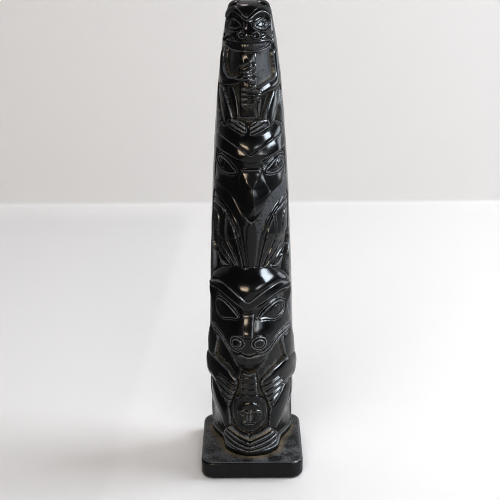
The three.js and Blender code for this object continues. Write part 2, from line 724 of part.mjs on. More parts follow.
// Each hand: where its lowest finger starts and ends, and how far up the next one starts and ends.
const hands = [
  { fingers: 5, from: [-2.6, 109.4], to: [0.6, 108.9], rise: [0.5, 1.08] },
  { fingers: 4, from: [2.8, 103.7], to: [-1.1, 102.9], rise: [0.75, 1.25] },
].map(({ fingers, from, to, rise }) =>
  Array.from({ length: fingers }, (_, i) => ({
    line: stroke([[from[0], from[1] + rise[0] * i], [to[0], to[1] + rise[1] * i]]),
    ...finger,
  })),
);
const cubThigh = {
  shape: outline([
    [6.8, 106.8], [5.2, 103.4], [4.1, 100.8], [3.8, 99], [2.7, 99.2], [2.8, 102], [3.6, 105], [4.8, 107],
  ]),
  level: -0.5,
  wall: 0.4,
  radius: 0.8,
  drop: 0.2,
};
const cubShin = {
  shape: outline([
    [11.4, 106.4], [10, 102.8], [8.2, 100], [6.6, 97.2], [5, 96.7], [4.1, 98.2], [4.4, 100],
    [5.3, 102], [6.9, 104.7], [9, 106.8],
  ]),
  level: 0.2,
  wall: 0.4,
  radius: 1.4,
  drop: 0.5,
};
const cubHaunch = {
  shape: outline([
    [7.4, 97], [9.5, 98.6], [12.2, 102], [12.8, 106], [11.4, 107], [10.2, 104.5], [8.8, 101.5], [6.9, 98.6],
  ]),
  level: -0.45,
  wall: 0.4,
  radius: 0.9,
  drop: 0.3,
};
const cubFoot = {
  shape: outline([[0.7, 95.4], [4.6, 95.7], [6, 97], [5.4, 99], [2.6, 98.9], [0.9, 98.2]]),
  level: 0.45,
  radius: 1,
  drop: 0.4,
};
const cubToes = {
  lines: [
    stroke([[0.3, 97.3], [2.4, 98.7]]),
    stroke([[0.3, 96.3], [2, 97.3], [4, 98.4]]),
    stroke([[0.5, 95.5], [2.6, 96.4], [5.2, 97.6]]),
  ],
  halfWidth: 0.32,
  depth: 0.42,
};

function cub(h0, sFace, z) {
  const side = sFace - CUB_SHIFT;
  const s = Math.abs(side);
  let h = h0;
  for (const form of [cubHaunch, cubThigh, cubShin]) h = carve(h, form, s, z);
  const foot = inside(cubFoot.shape, s, z);
  h = raise(h, foot, cubFoot, s, z);
  if (foot > 0) h = engrave(h, cubToes, s, z);

  h = raise(h, Math.min(staff.halfWidth - s, z - staff.bottom, staff.top - z), staff, s, z);
  for (const arm of [leftArm, rightArm]) h = raise(h, inside(arm, side, z), armForm, s, z);
  for (const fingers of hands) h += Math.max(...fingers.map((one) => ridge(one, side, z)));

  const head = inside(cubHead.shape, s, z);
  h = raise(h, head, cubHead, s, z);
  return head > 0 ? cubFace(h, side, z) : h;
}

function cubFace(h0, side, z) {
  const s = Math.abs(side);
  let h = eye(h0, cubEye, s, z);
  h = carve(h, cubBrow, s, z);
  const across = Math.abs(side - cubSnout.shift);
  const besideSnout = profile(cubSnout.halfWidths, z) - across;
  h += profile(cubSnout.heights, z) * smooth(besideSnout / cubSnout.side + 0.5);
  h += dome(cubNostril, across, z) + ridge(cubFlews, s, z);
  return carve(h, cubMouth, s, z);
}

// The ears stand on the corners of the crown.
function earLift({ x, y, z }) {
  const away = Math.hypot(Math.abs(x) - ear.centre.x, y - ear.centre.y, z - ear.centre.z) / ear.radius;
  return ear.height * Math.max(0, 1 - away * away);
}

// The pole

// The relief over the blank: the plain sides, and the carved face with its three figures.
function relief(s, z) {
  const waist = smooth((WAIST_TOP - z) / (WAIST_TOP - WAIST_BOTTOM));
  const plain = -WAIST * waist * smooth((WAIST_REACH - Math.abs(s)) / WAIST_FADE);
  const carved = Math.min(CARVED_EDGE * halfWidth(z) - Math.abs(s), CARVED_TOP - z);
  let h = THREE.MathUtils.lerp(plain, GROUND, smooth(carved / WALL + 0.5));
  h = raven(h, s, z);
  h = cub(h, s, z);
  h = bear(h, s, z);
  const drawn = smooth((FOOT_DRAW_TOP - z) / (FOOT_DRAW_TOP - FOOT_DRAW_BOTTOM));
  h -= FOOT_DRAW * drawn * profile(FOOT_DRAW_ROUND, Math.abs(s));
  return h * smooth((TOTAL_HEIGHT - z) / FADE_HEIGHT);
}

// The heights of the rows, closer together where the crown rounds over.
function rowHeight(row) {
  const straight = POLE_ROWS - CAP_ROWS;
  if (row <= straight) return THREE.MathUtils.lerp(PLINTH_HEIGHT, CAP_FROM, row / straight);
  const turn = ((row - straight) / CAP_ROWS) * (Math.PI / 2);
  return CAP_FROM + (TOTAL_HEIGHT - CAP_FROM) * Math.sin(turn);
}

// The angles of the columns, closer together across the carved face.
function columnAngle(column) {
  const t = (2 * (column + 0.5)) / POLE_COLUMNS - 1;
  return Math.PI * (0.6 * t + 0.4 * t ** 5);
}

// The blank's surface at one place, moved outwards by the relief.
function polePoint(angle, length, z) {
  const small = 1e-3;
  const at = (da, dz) => blankPoint(angle + da, z + dz, new THREE.Vector3());
  const across = at(small, 0).sub(at(-small, 0));
  const up = at(0, small).sub(at(0, -small));
  const outward = across.cross(up).normalize();
  if (z === PLINTH_HEIGHT) outward.setZ(0);
  const point = at(0, 0);
  const height = Math.abs(angle) < RELIEF_ANGLE ? relief(length * halfWidth(z), z) : 0;
  return point.addScaledVector(outward, height + earLift(point));
}

async function poleGeometry() {
  const angles = Array.from({ length: POLE_COLUMNS }, (_, column) => columnAngle(column));
  const lengths = angles.map(faceLength);
  const positions = [];
  for (let row = 0; row < POLE_ROWS; row++) {
    const z = rowHeight(row);
    angles.forEach((angle, column) => positions.push(...polePoint(angle, lengths[column], z)));
  }
  const foot = POLE_ROWS * POLE_COLUMNS;
  const crown = foot + 1;
  positions.push(0, 0, PLINTH_HEIGHT);
  positions.push(0, AXIS_SHIFT * halfWidth(TOTAL_HEIGHT), TOTAL_HEIGHT);

  const index = [];
  for (let column = 0; column < POLE_COLUMNS; column++) {
    const next = (column + 1) % POLE_COLUMNS;
    index.push(foot, next, column);
    for (let row = 1; row < POLE_ROWS; row++) {
      const [below, above] = [(row - 1) * POLE_COLUMNS, row * POLE_COLUMNS];
      index.push(below + column, below + next, above + next);
      index.push(below + column, above + next, above + column);
    }
    const top = (POLE_ROWS - 1) * POLE_COLUMNS;
    index.push(top + column, top + next, crown);
  }
  const geometry = new THREE.BufferGeometry();
  geometry.setAttribute("position", new THREE.Float32BufferAttribute(positions, 3));
  geometry.setIndex(index);
  return new SimplifyModifier().modify(geometry, positions.length / 3 - POLE_VERTICES);
}

// The plinth: a square block with round corners and softened edges

function plinthGeometry() {
  const corner = PLINTH_CORNER - PLINTH_EDGE;
  const reach = PLINTH_SIDE / 2 - PLINTH_CORNER;
  const quarter = Math.PI / 2;
  const shape = new THREE.Shape();
  for (let i = 0; i < 4; i++) {
    const middle = new THREE.Vector2(reach, reach).rotateAround(new THREE.Vector2(), i * quarter);
    shape.absarc(middle.x, middle.y, corner, i * quarter, (i + 1) * quarter, false);
  }
  const geometry = new THREE.ExtrudeGeometry(shape, {
    depth: PLINTH_HEIGHT - 2 * PLINTH_EDGE,
    bevelThickness: PLINTH_EDGE,
    bevelSize: PLINTH_EDGE,
    bevelSegments: 3,
    curveSegments: 8,
  });
  geometry.translate(0, 0, PLINTH_EDGE);
  geometry.deleteAttribute("normal");
  geometry.deleteAttribute("uv");
  return mergeVertices(geometry, 1e-4);
}

// The object

const polishedResin = new THREE.MeshStandardMaterial({ color: 0x0c0c0e, roughness: 0.22, metalness: 0 });
const satinResin = new THREE.MeshStandardMaterial({ color: 0x151515, roughness: 0.5, metalness: 0 });

function piece(name, geometry, material) {
  const mesh = new THREE.Mesh(geometry, material);
  mesh.name = name;
  return mesh;
}

const totem = new THREE.Group();
totem.add(piece("plinth", plinthGeometry(), satinResin));
totem.add(piece("totem_pole", await poleGeometry(), polishedResin));

export default totem;
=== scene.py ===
# %% [markdown]
# # A small carved totem of polished black resin
#
# The real object is a souvenir, 127 mm tall: a tapering column with a bear, a raven and a bear cub carved one
# above the other on its round front, standing on a low square plinth. This lesson dresses the two solids of
# the frame. The column gets a much finer carving than the solid has, and both pieces get the finish of cast
# resin that was polished on its high places and has dust in its low ones.

# %% Load the frame
import math
from types import SimpleNamespace

import bpy
import numpy as np
from mathutils import Matrix, Vector


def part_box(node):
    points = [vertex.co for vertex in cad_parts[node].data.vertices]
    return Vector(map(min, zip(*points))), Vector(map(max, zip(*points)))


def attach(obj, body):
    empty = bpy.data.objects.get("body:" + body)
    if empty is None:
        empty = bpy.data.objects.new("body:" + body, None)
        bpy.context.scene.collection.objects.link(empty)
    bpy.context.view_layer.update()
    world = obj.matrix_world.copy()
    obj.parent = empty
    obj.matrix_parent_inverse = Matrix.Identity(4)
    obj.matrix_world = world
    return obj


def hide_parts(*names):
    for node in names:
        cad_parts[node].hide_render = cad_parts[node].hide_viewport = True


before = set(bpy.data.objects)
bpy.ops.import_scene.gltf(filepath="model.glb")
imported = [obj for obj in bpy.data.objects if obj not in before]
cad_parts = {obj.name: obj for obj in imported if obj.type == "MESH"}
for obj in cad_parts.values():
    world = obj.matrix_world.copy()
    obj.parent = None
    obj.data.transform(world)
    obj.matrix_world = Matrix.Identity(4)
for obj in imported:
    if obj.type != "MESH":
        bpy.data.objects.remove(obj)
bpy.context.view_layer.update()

MM = 0.001
scene = bpy.context.scene

# %% [markdown]
# ## The camera
#
# The picture was taken from the front and from above, close to the object, so the plinth looks wide and the
# top looks near. A short lens would bend the column's sides further, and a long one would flatten them. The
# place and the lens below were worked out from the plinth's corners and from the column's edges. A phone's
# camera also darkens the shadows of its pictures, and a view gamma below 1 does the same here. It sharpens
# them as well, so the pixel filter is a narrow one.

# %% Camera
CAMERA_PLACE = Vector((-0.212, -260.29, 157.90)) * MM
CAMERA_LENS = 74.88
CAMERA_SENSOR = 36.0
CAMERA_PITCH = 20.234
CAMERA_ROLL = -0.38
CAMERA_CLIP = 0.01
PICTURE_GAMMA = 0.75
PIXEL_FILTER = 1.0


def make_camera():
    data = bpy.data.cameras.new("camera")
    data.lens = CAMERA_LENS
    data.sensor_width = CAMERA_SENSOR
    data.clip_start = CAMERA_CLIP
    camera = bpy.data.objects.new("camera", data)
    tilt = Matrix.Rotation(math.radians(90 - CAMERA_PITCH), 4, "X")
    roll = Matrix.Rotation(math.radians(CAMERA_ROLL), 4, "Z")
    camera.matrix_world = Matrix.Translation(CAMERA_PLACE) @ tilt @ roll
    scene.collection.objects.link(camera)
    return camera


scene.camera = make_camera()
scene.view_settings.view_transform = "Standard"
scene.view_settings.gamma = PICTURE_GAMMA
scene.cycles.filter_width = PIXEL_FILTER
print("camera", [round(v, 3) for v in scene.camera.location])

# %% [markdown]
# ## The unrolled face
#
# A carver draws a figure on the flat and wraps the drawing round the wood. The code does the same. s runs
# across the face from the middle, along the surface, and z runs up, both in millimetres. A relief height h
# says how far the surface stands out from a plain blank. Sculpting by hand would give the same forms, but a
# height that is worked out from drawn lines can be measured, changed and repeated.
#
# The helpers below draw smooth lines through a few points, and measure how far a place is from a line.

# %% Lines and distances
STEPS_PER_POINT = 6
REACH = 3.0  # a line has no effect further away than this
TINY = 1e-9


def smooth(v):
    t = np.clip(v, 0, 1)
    return t * t * (3 - 2 * t)


def drawn(points, closed):
    """A smooth line through the points, as short straight steps."""
    p = np.array(points, float)
    if closed:
        p = np.vstack([p[-1:], p, p[:2]])
    else:
        p = np.vstack([2 * p[:1] - p[1:2], p, 2 * p[-1:] - p[-2:-1]])
    before, start, end, after = p[:-3], p[1:-2], p[2:-1], p[3:]
    gaps = np.sqrt(np.linalg.norm(np.diff(p, axis=0), axis=1))[:, None]
    g0, g1, g2 = gaps[:-2], gaps[1:-1], gaps[2:]
    leave = g1 * ((start - before) / g0 - (end - before) / (g0 + g1) + (end - start) / g1)
    arrive = g1 * ((end - start) / g1 - (after - start) / (g1 + g2) + (after - end) / g2)
    t = (np.arange(STEPS_PER_POINT) / STEPS_PER_POINT)[None, :, None]
    start, end, leave, arrive = (v[:, None, :] for v in (start, end, leave, arrive))
    path = start + t * leave
    path = path + t * t * (3 * (end - start) - 2 * leave - arrive)
    path = path + t * t * t * (2 * (start - end) + leave + arrive)
    path = np.vstack([path.reshape(-1, 2), end[-1]])
    return SimpleNamespace(path=path, closed=closed)


def stroke(*points):
    return drawn(points, False)


def outline(*points):
    return drawn(points, True)


def whole(*right_half):
    """A closed outline from its right half, which starts and ends on the middle line."""
    left_half = [(-s, z) for s, z in right_half if s > 0]
    return outline(*right_half, *reversed(left_half))


def inside(shape, s, z):
    """How far each place is inside a closed outline, or minus its distance from the line."""
    low = shape.path.min(axis=0) - REACH
    high = shape.path.max(axis=0) + REACH
    near = (s > low[0]) & (s < high[0]) & (z > low[1]) & (z < high[1])
    near_s, near_z = s[near], z[near]
    nearest = np.full(near_s.shape, REACH)
    within = np.zeros(near_s.shape, bool)
    for (s0, z0), (s1, z1) in zip(shape.path[:-1], shape.path[1:]):
        ds, dz = s1 - s0, z1 - z0
        away_s, away_z = near_s - s0, near_z - z0
        along = np.clip((away_s * ds + away_z * dz) / (ds * ds + dz * dz + TINY), 0, 1)
        nearest = np.minimum(nearest, np.hypot(away_s - along * ds, away_z - along * dz))
        if shape.closed and abs(dz) > TINY:
            crossed = (z0 > near_z) != (z1 > near_z)
            within ^= crossed & (away_s < away_z / dz * ds)
    depth = np.full(s.shape, -REACH)
    depth[near] = np.where(within, nearest, -nearest)
    return depth


def profile(knots, z):
    """A value that changes with z, smooth between its knots, which run from the top down."""
    level, value = np.array(knots[::-1], float).T
    last = len(level) - 1
    above = np.minimum(np.arange(last + 1) + 1, last)
    below = np.maximum(np.arange(last + 1) - 1, 0)
    slope = (value[above] - value[below]) / (level[above] - level[below])
    i = np.clip(np.searchsorted(level, z) - 1, 0, last - 1)
    span = level[i + 1] - level[i]
    rise = value[i + 1] - value[i]
    t = np.clip((z - level[i]) / span, 0, 1)
    bend = (1 - t) * slope[i] - t * slope[i + 1]
    return value[i] + rise * t + t * (1 - t) * (span * bend - (1 - 2 * t) * rise)


print("a drawn line has", len(outline((0, 0), (1, 0), (1, 1), (0, 1)).path), "places")

# %% [markdown]
# ## Ways to carve
#
# Nearly every mark on the column is one of six: a form with a wall round it and a rounded top, a cut line, a
# raised line, a ring, a round boss, and a swelling that runs out softly. Each is a short function, so a
# figure reads like a carver's list of steps. Boolean cuts would carve the same marks, but a hundred of them
# would be slow and fragile. Most walls are 0.3 mm wide here, where the solid's are wider, because the real
# edges are crisp enough to catch the light as thin lines.

# %% Carving tools
WALL = 0.3
SWELL_SOFTNESS = 0.25


def form(shape, level, lift=0.0, wall=WALL, radius=1.0, drop=0.0):
    """A raised or sunk form: its level is a height, or a function of the place."""
    return SimpleNamespace(shape=shape, level=level, lift=lift, wall=wall, radius=radius, drop=drop)


def by_height(knots):
    """A level that changes with the height alone."""
    return lambda s, z: profile(knots, z)


def rounded(depth, radius, drop):
    t = np.clip(1 - depth / radius, 0, 1)
    return -drop * (1 - np.sqrt(1 - t * t))


def raise_form(h, depth, this, s, z):
    """Puts a form over the relief, where depth says how far each place is inside its outline."""
    h = h.copy()
    near = depth > -this.wall / 2
    near_depth = depth[near]
    height = this.level(s[near], z[near]) if callable(this.level) else this.level
    top = height + this.lift + rounded(near_depth, this.radius, this.drop)
    h[near] += (top - h[near]) * smooth(near_depth / this.wall + 0.5)
    return h


def carve(h, this, s, z):
    return raise_form(h, inside(this.shape, s, z), this, s, z)


def groove(distance, half_width, depth):
    """A cut with a round section, at a distance from its middle line."""
    return -depth * smooth(1 - distance / half_width)


def roll(distance, half_width, height):
    """A raised round section, at a distance from its middle line."""
    t = np.minimum(distance / half_width, 1)
    return height * np.sqrt(1 - t * t)


def engrave(h, lines, cut, s, z):
    """Cuts lines into the relief. A cut is half its width, and its depth."""
    for line in lines:
        h = h + groove(-inside(line, s, z), *cut)
    return h


def carve_and_cut(h, this, lines, cut, s, z):
    """A form with cut lines that end at its outline."""
    depth = inside(this.shape, s, z)
    h = raise_form(h, depth, this, s, z)
    return np.where(depth > 0, engrave(h, lines, cut, s, z), h)


def ridge(line, size, s, z):
    """A raised line. Its size is half its width, and its height."""
    return roll(-inside(line, s, z), *size)


def from_ring(centre, radius, s, z):
    return np.abs(np.hypot(s - centre[0], z - centre[1]) - radius)


def dome(centre, radii, height, s, z):
    r = np.hypot((s - centre[0]) / radii[0], (z - centre[1]) / radii[1])
    return height * np.sqrt(np.clip(1 - r * r, 0, 1))


def swell(centre, radii, height, s, z):
    """A round swelling whose rim runs out softly into its surroundings."""
    rise = 1 - ((s - centre[0]) / radii[0]) ** 2 - ((z - centre[1]) / radii[1]) ** 2
    return height * (rise + np.sqrt(rise * rise + SWELL_SOFTNESS**2)) / 2


print("most walls are", WALL, "mm wide")

# %% Eyes
LID_HALF_WIDTH = 0.28
LID_HEIGHT = 0.32
EYE_GROOVE_DEPTH = 0.4
IRIS_CUT = (0.2, 0.12)
CREASE_CUT = (0.24, 0.3)


def eye(h, this, s, z):
    """An eye in its socket: the hollow, the almond in its groove, two lids, the iris and the upper crease."""
    depth = inside(this.almond.shape, s, z)
    h = carve(h, this.socket, s, z)
    h = engrave(h, [this.crease], CREASE_CUT, s, z)
    h = h + groove(np.abs(depth + LID_HALF_WIDTH), LID_HALF_WIDTH, EYE_GROOVE_DEPTH)
    h = raise_form(h, depth, this.almond, s, z)
    h = h + roll(np.abs(depth), LID_HALF_WIDTH, LID_HEIGHT)
    iris = groove(from_ring(this.iris_centre, this.iris_radius, s, z), *IRIS_CUT)
    return h + np.where(depth > LID_HALF_WIDTH / 2, iris, 0)


print("eyelids are", 2 * LID_HALF_WIDTH, "mm wide")

# %% [markdown]
# ## The blank
#
# Before it was carved the column was a plain post. Its section is round in front and nearly flat at the back,
# it tapers upwards, and its top rounds over. A lofted curve would give the same post, but a formula for the
# section gives every point and its outward direction at once, which the relief needs.

# %% Blank
_, pole_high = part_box("totem_pole")
plinth_low, plinth_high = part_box("plinth")
TOTAL_HEIGHT = pole_high.z / MM
FOOT_HEIGHT = plinth_high.z / MM
FOOT_HALF_WIDTH = 11.6
TAPER_FROM = 30.0  # the blank keeps its full width below this height
TAPER_LINEAR = 1.6
TAPER_SQUARE = 3.1
TAPER_CROWN = 1.9  # the extra narrowing just below the top
CROWN_POWER = 7
FACE_DEPTH = 1.35  # the front's depth over its half-width
BACK_DEPTH = 0.53
BACK_SQUARENESS = 4
AXIS_SHIFT = 0.4  # how far behind the middle the widest place is, over the half-width
CAP_FROM = 123.8  # the crown rounds over from this height up
CAP_POWER = 3
FOREHEAD_FROM = 120.0  # the face leans back from this height up
FOREHEAD_POWER = 2.2
FACE_STEPS = 200


def half_width(z):
    t = np.maximum(0, (z - TAPER_FROM) / (TOTAL_HEIGHT - TAPER_FROM))
    return FOOT_HALF_WIDTH - TAPER_LINEAR * t - TAPER_SQUARE * t**2 - TAPER_CROWN * t**CROWN_POWER


def closing(z, start, power):
    """How far the section has closed in towards the top, from 1 to 0."""
    t = np.clip((z - start) / (TOTAL_HEIGHT - start), 0, 1)
    return (1 - t**power) ** (1 / power)


def blank_points(angle, z):
    """The plain post's surface: a half ellipse in front, and a squarer curve at the back."""
    w = half_width(z)
    r = w * closing(z, CAP_FROM, CAP_POWER)
    front = w * closing(z, FOREHEAD_FROM, FOREHEAD_POWER)
    sin, cos = np.sin(angle), np.cos(angle)
    power = 2 / BACK_SQUARENESS
    side = np.where(cos >= 0, sin, np.sign(sin) * np.abs(sin) ** power)
    depth = np.where(cos >= 0, -FACE_DEPTH * front * cos, BACK_DEPTH * r * np.abs(cos) ** power)
    return np.stack([r * side, AXIS_SHIFT * w + depth, z + 0 * angle], axis=-1)


def face_length(angle):
    """The distance along the section from the middle of the face, over the half-width."""
    middles = (np.arange(FACE_STEPS) + 0.5) / FACE_STEPS
    a = angle[:, None] * middles
    return angle * np.hypot(np.cos(a), FACE_DEPTH * np.sin(a)).mean(axis=1)


print("post is", round(2 * FOOT_HALF_WIDTH, 1), "mm wide at the foot and", round(TOTAL_HEIGHT, 1), "mm tall")

# %% [markdown]
# ## The bear's body
#
# The bear sits at the foot, and holds a small figure in front of it. Its arms are two smooth rolls that meet
# the chest in a deep groove. Its legs are plain lobes, and its feet are chevrons of long toes. Most of the
# figures are symmetrical, so a shape gives its right half alone, and s is measured away from the figure's
# middle line. That line sits a little off the column's own, as it was cut by hand. Drawing both halves would
# allow for every slip of the knife, but it would double the list of points.

# %% Bear's body
BEAR_SHIFT = -0.75
FOOT_LEDGE_TOP = 6.9

foot_ledge = form(None, -0.25, wall=0.4, radius=0.9, drop=0.4)
bear_chest = form(
    outline(
        (2.2, 31.3), (4, 33.3), (6, 36), (8, 38), (10.3, 38.8), (11.4, 36.5), (12.6, 33.3), (9.4, 32.2),
        (6.6, 31.3), (4.6, 29.7), (3, 28.4), (2.5, 29.8),
    ),
    level=-0.75,
)
bear_upper_arm = form(
    outline(
        (10.6, 38.9), (13.4, 40.5), (15.4, 41.2), (18, 39.6), (20.8, 35.6), (22.4, 31), (21, 27.6),
        (15, 30.6), (12.7, 32.9), (11.4, 36.2),
    ),
    level=0.7,
    radius=4,
    drop=1,
)
FOREARM_LEVELS = [(18, 1.1), (13, 0.7), (8, 0.45)]  # across the face: the elbow stands out the furthest
bear_forearm = form(
    outline(
        (3.5, 28.2), (5, 29.5), (6.7, 30.8), (9.4, 31.7), (12.7, 32.4), (17, 31.8), (20.6, 31),
        (22.4, 28.6), (21, 26), (18, 24.9), (14, 25.2), (11, 24), (8.6, 21.6), (6.4, 19.3), (5.5, 21.4),
        (4.5, 23.8), (3.5, 26),
    ),
    level=lambda s, z: profile(FOREARM_LEVELS, s),
    radius=2.6,
    drop=0.9,
)
bear_fingers = [
    stroke((3.5, 26.5), (6, 27.6), (9, 28.5)),
    stroke((4.3, 24.9), (7, 26.1), (10.2, 27)),
    stroke((4.9, 23.3), (8, 24.6), (11, 25.5)),
    stroke((5.5, 21.6), (8.4, 23), (11.2, 24)),
]
bear_leg = form(
    outline(
        (6.2, 17), (6.9, 19.6), (9, 21.3), (11.8, 23.5), (14.6, 24.6), (17.4, 23.8), (17.6, 21), (16, 18),
        (13.8, 15.2), (11.2, 13.1), (9, 11.6), (7.5, 10.9), (6.3, 12), (6, 14),
    ),
    level=0.15,
    radius=3,
    drop=0.9,
)
bear_foot = form(
    outline((0, 11.2), (2.7, 12.3), (6.2, 13.6), (8.4, 11.6), (9.6, 10.2), (8, 8.2), (4, 7), (0, 6.4)),
    level=0.1,
    radius=1.4,
    drop=0.5,
)
bear_toes = [
    stroke((0, 9.9), (2.7, 11), (6, 12.2)),
    stroke((0, 8.6), (3, 9.5), (7.4, 11)),
    stroke((0, 7.4), (4, 8.2), (8.6, 9.6)),
]
bear_toe_rolls = [
    stroke((0, 9.25), (2.9, 10.25), (6.8, 11.6)),
    stroke((0, 8), (3.5, 8.9), (8, 10.3)),
    stroke((0, 6.9), (4, 7.6), (8.4, 8.9)),
]
bear_instep = stroke((0, 10.6), (2.7, 11.8), (6, 13))
TOE_CUT = (0.4, 0.45)
TOE_SIZE = (0.62, 0.4)
INSTEP_SIZE = (0.5, 0.3)
FINGER_CUT = (0.5, 0.5)


def carve_bear_body(h, s, z):
    h = raise_form(h, FOOT_LEDGE_TOP - z, foot_ledge, s, z)
    h = carve(h, bear_leg, s, z)
    h = carve_and_cut(h, bear_foot, bear_toes, TOE_CUT, s, z)
    for toe in bear_toe_rolls:
        h = h + ridge(toe, TOE_SIZE, s, z)
    h = h + ridge(bear_instep, INSTEP_SIZE, s, z)
    h = carve_small_figure(h, s, z)
    h = carve(h, bear_chest, s, z)
    h = carve(h, bear_upper_arm, s, z)
    return carve_and_cut(h, bear_forearm, bear_fingers, FINGER_CUT, s, z)


print("bear has", 2 * len(bear_fingers), "finger cuts and", 2 * len(bear_toes), "toe cuts")

# %% [markdown]
# ## The bear's face
#
# The face is drawn in the manner of north-west coast carving: long brows that meet over the nose, almond eyes
# in hollow sockets, ringed nostrils, and a wide mouth whose lips run back to the cheeks. Each feature lies in
# its own layer over the head's swelling, from the sockets outwards. The layers could be separate meshes, but
# on one relief they melt into each other as they do in a casting.

# %% Bear's face
BEAR_LEVELS = [
    (60.2, -2), (59, -1.3), (58, -0.65), (57, -0.1), (56, 0.35), (54.5, 0.8), (53, 0.98), (51.5, 0.95),
    (50, 0.75), (48, 0.2), (46, 0.15), (43, 0.4), (40, 0.4), (37, 0.3), (34, 0.1), (32, -0.6), (30.5, -1.2),
]
BEAR_BROW_TOP = [(0, 51.7), (2.2, 53.4), (3.8, 54.5), (6.5, 55.6), (9.5, 55.7), (12.6, 54.8)]
bear_level = by_height(BEAR_LEVELS)
bear_head = form(
    whole(
        (0, 60), (6, 60), (10.5, 59), (13.5, 56.6), (14.7, 53), (14.9, 47), (14.9, 42.4), (13.8, 39.9),
        (10.6, 39.3), (8.6, 38.6), (6.3, 37), (4.2, 34.7), (2.6, 32), (0, 30.5),
    ),
    level=bear_level,
    radius=1.6,
    drop=0.45,
)
bear_brow = form(
    whole(
        *BEAR_BROW_TOP, (13.6, 54), (12.4, 53.1), (10, 53.5), (7.2, 53.2), (4.8, 52.1), (2.4, 50.6),
        (0, 48.9),
    ),
    level=bear_level,
    lift=0.3,
    wall=0.24,
    radius=0.5,
    drop=0.1,
)
bear_forehead = form(
    whole(*BEAR_BROW_TOP, (13.4, 56.4), (10.5, 58.9), (6, 60), (0, 60.1)),
    level=bear_level,
    lift=0.15,
    radius=2.2,
    drop=0.45,
)
bear_eye = SimpleNamespace(
    socket=form(
        outline(
            (2.3, 49.4), (4.8, 51.5), (7.2, 52.6), (10, 52.9), (12.8, 52.2), (13.2, 50), (12.4, 48),
            (10.8, 46.6), (8.6, 46), (6, 46.4), (3.6, 47.2),
        ),
        level=-0.35,
        wall=2.4,
    ),
    almond=form(
        outline(
            (3, 46.7), (4.4, 48.3), (6.2, 49.5), (8.4, 50.2), (10.6, 50), (12, 48.8), (11.4, 47.1), (9.6, 46),
            (7.2, 45.8), (4.8, 46.4),
        ),
        level=0.05,
        radius=1.6,
        drop=0.5,
    ),
    crease=stroke((2.2, 47.2), (4, 49.2), (6, 50.4), (8.4, 51.1), (10.8, 50.9), (12.8, 49.6)),
    iris_centre=(8.6, 48),
    iris_radius=1.35,
)
BEAR_NOSE_HALF_WIDTHS = [(48.4, 1.45), (45, 1.25), (42.4, 1.1)]
BEAR_NOSE_HEIGHTS = [(48.3, 0), (47.8, 0.7), (45, 0.85), (42.6, 1.05), (42, 0.6), (41.3, 0.1), (40.8, 0)]
BEAR_NOSE_ROUNDNESS = 0.18
BEAR_NOSE_WALL = 0.3
BEAR_MUZZLE = (0, 40)
BEAR_MUZZLE_RADII = (7.5, 7)
BEAR_MUZZLE_HEIGHT = 1.4
BEAR_NOSTRIL = (2.5, 40.3)
BEAR_NOSTRIL_RADII = (1.95, 1.95)
BEAR_NOSTRIL_HEIGHT = 0.7
NOSTRIL_RING_RADIUS = 1.4
NOSTRIL_RING_CUT = (0.3, 0.6)
bear_lip = stroke((1.7, 37.4), (3.5, 38), (5.4, 39.1), (7.6, 40.8), (10.2, 42), (14.6, 42.2))
bear_mouth = [
    stroke((1.9, 36.9), (3.9, 37), (5.8, 38.1), (7.8, 39.7), (10.4, 40.8), (14.4, 41)),
    stroke((0, 36.5), (1, 36.7), (2, 37.2)),
]
bear_lower_lip = stroke((0, 35.6), (1, 35.8), (1.9, 36.5))
LIP_CUT = (0.26, 0.4)
MOUTH_CUT = (0.32, 0.6)
LOWER_LIP_SIZE = (0.55, 0.45)


def carve_bear_face(h, s, z):
    head = inside(bear_head.shape, s, z)
    h = raise_form(h, head, bear_head, s, z)
    face = eye(h, bear_eye, s, z)
    face = carve(face, bear_brow, s, z)
    face = carve(face, bear_forehead, s, z)
    face = face + swell(BEAR_MUZZLE, BEAR_MUZZLE_RADII, BEAR_MUZZLE_HEIGHT, s, z)
    nose_half_width = profile(BEAR_NOSE_HALF_WIDTHS, z)
    nose = profile(BEAR_NOSE_HEIGHTS, z) * (1 - BEAR_NOSE_ROUNDNESS * (s / nose_half_width) ** 4)
    face = face + nose * smooth((nose_half_width - s) / BEAR_NOSE_WALL + 0.5)
    face = face + dome(BEAR_NOSTRIL, BEAR_NOSTRIL_RADII, BEAR_NOSTRIL_HEIGHT, s, z)
    face = face + groove(from_ring(BEAR_NOSTRIL, NOSTRIL_RING_RADIUS, s, z), *NOSTRIL_RING_CUT)
    face = engrave(face, [bear_lip], LIP_CUT, s, z)
    face = engrave(face, bear_mouth, MOUTH_CUT, s, z)
    face = face + ridge(bear_lower_lip, LOWER_LIP_SIZE, s, z)
    return np.where(head > 0, face, h)


print("bear's head runs from", BEAR_LEVELS[-1][0], "to", BEAR_LEVELS[0][0], "mm up")

# %% [markdown]
# ## The small figure
#
# The bear holds a small figure with a tall hat of stacked rings and a fall of hair on each side. Its face is
# a plain calm one of our own, set out as a drawing book teaches: equal thirds from the brim to the brows, to
# the base of the nose and to the chin, and five eye widths across. Measures that follow from one another keep
# such a face in proportion when it is made larger or smaller.

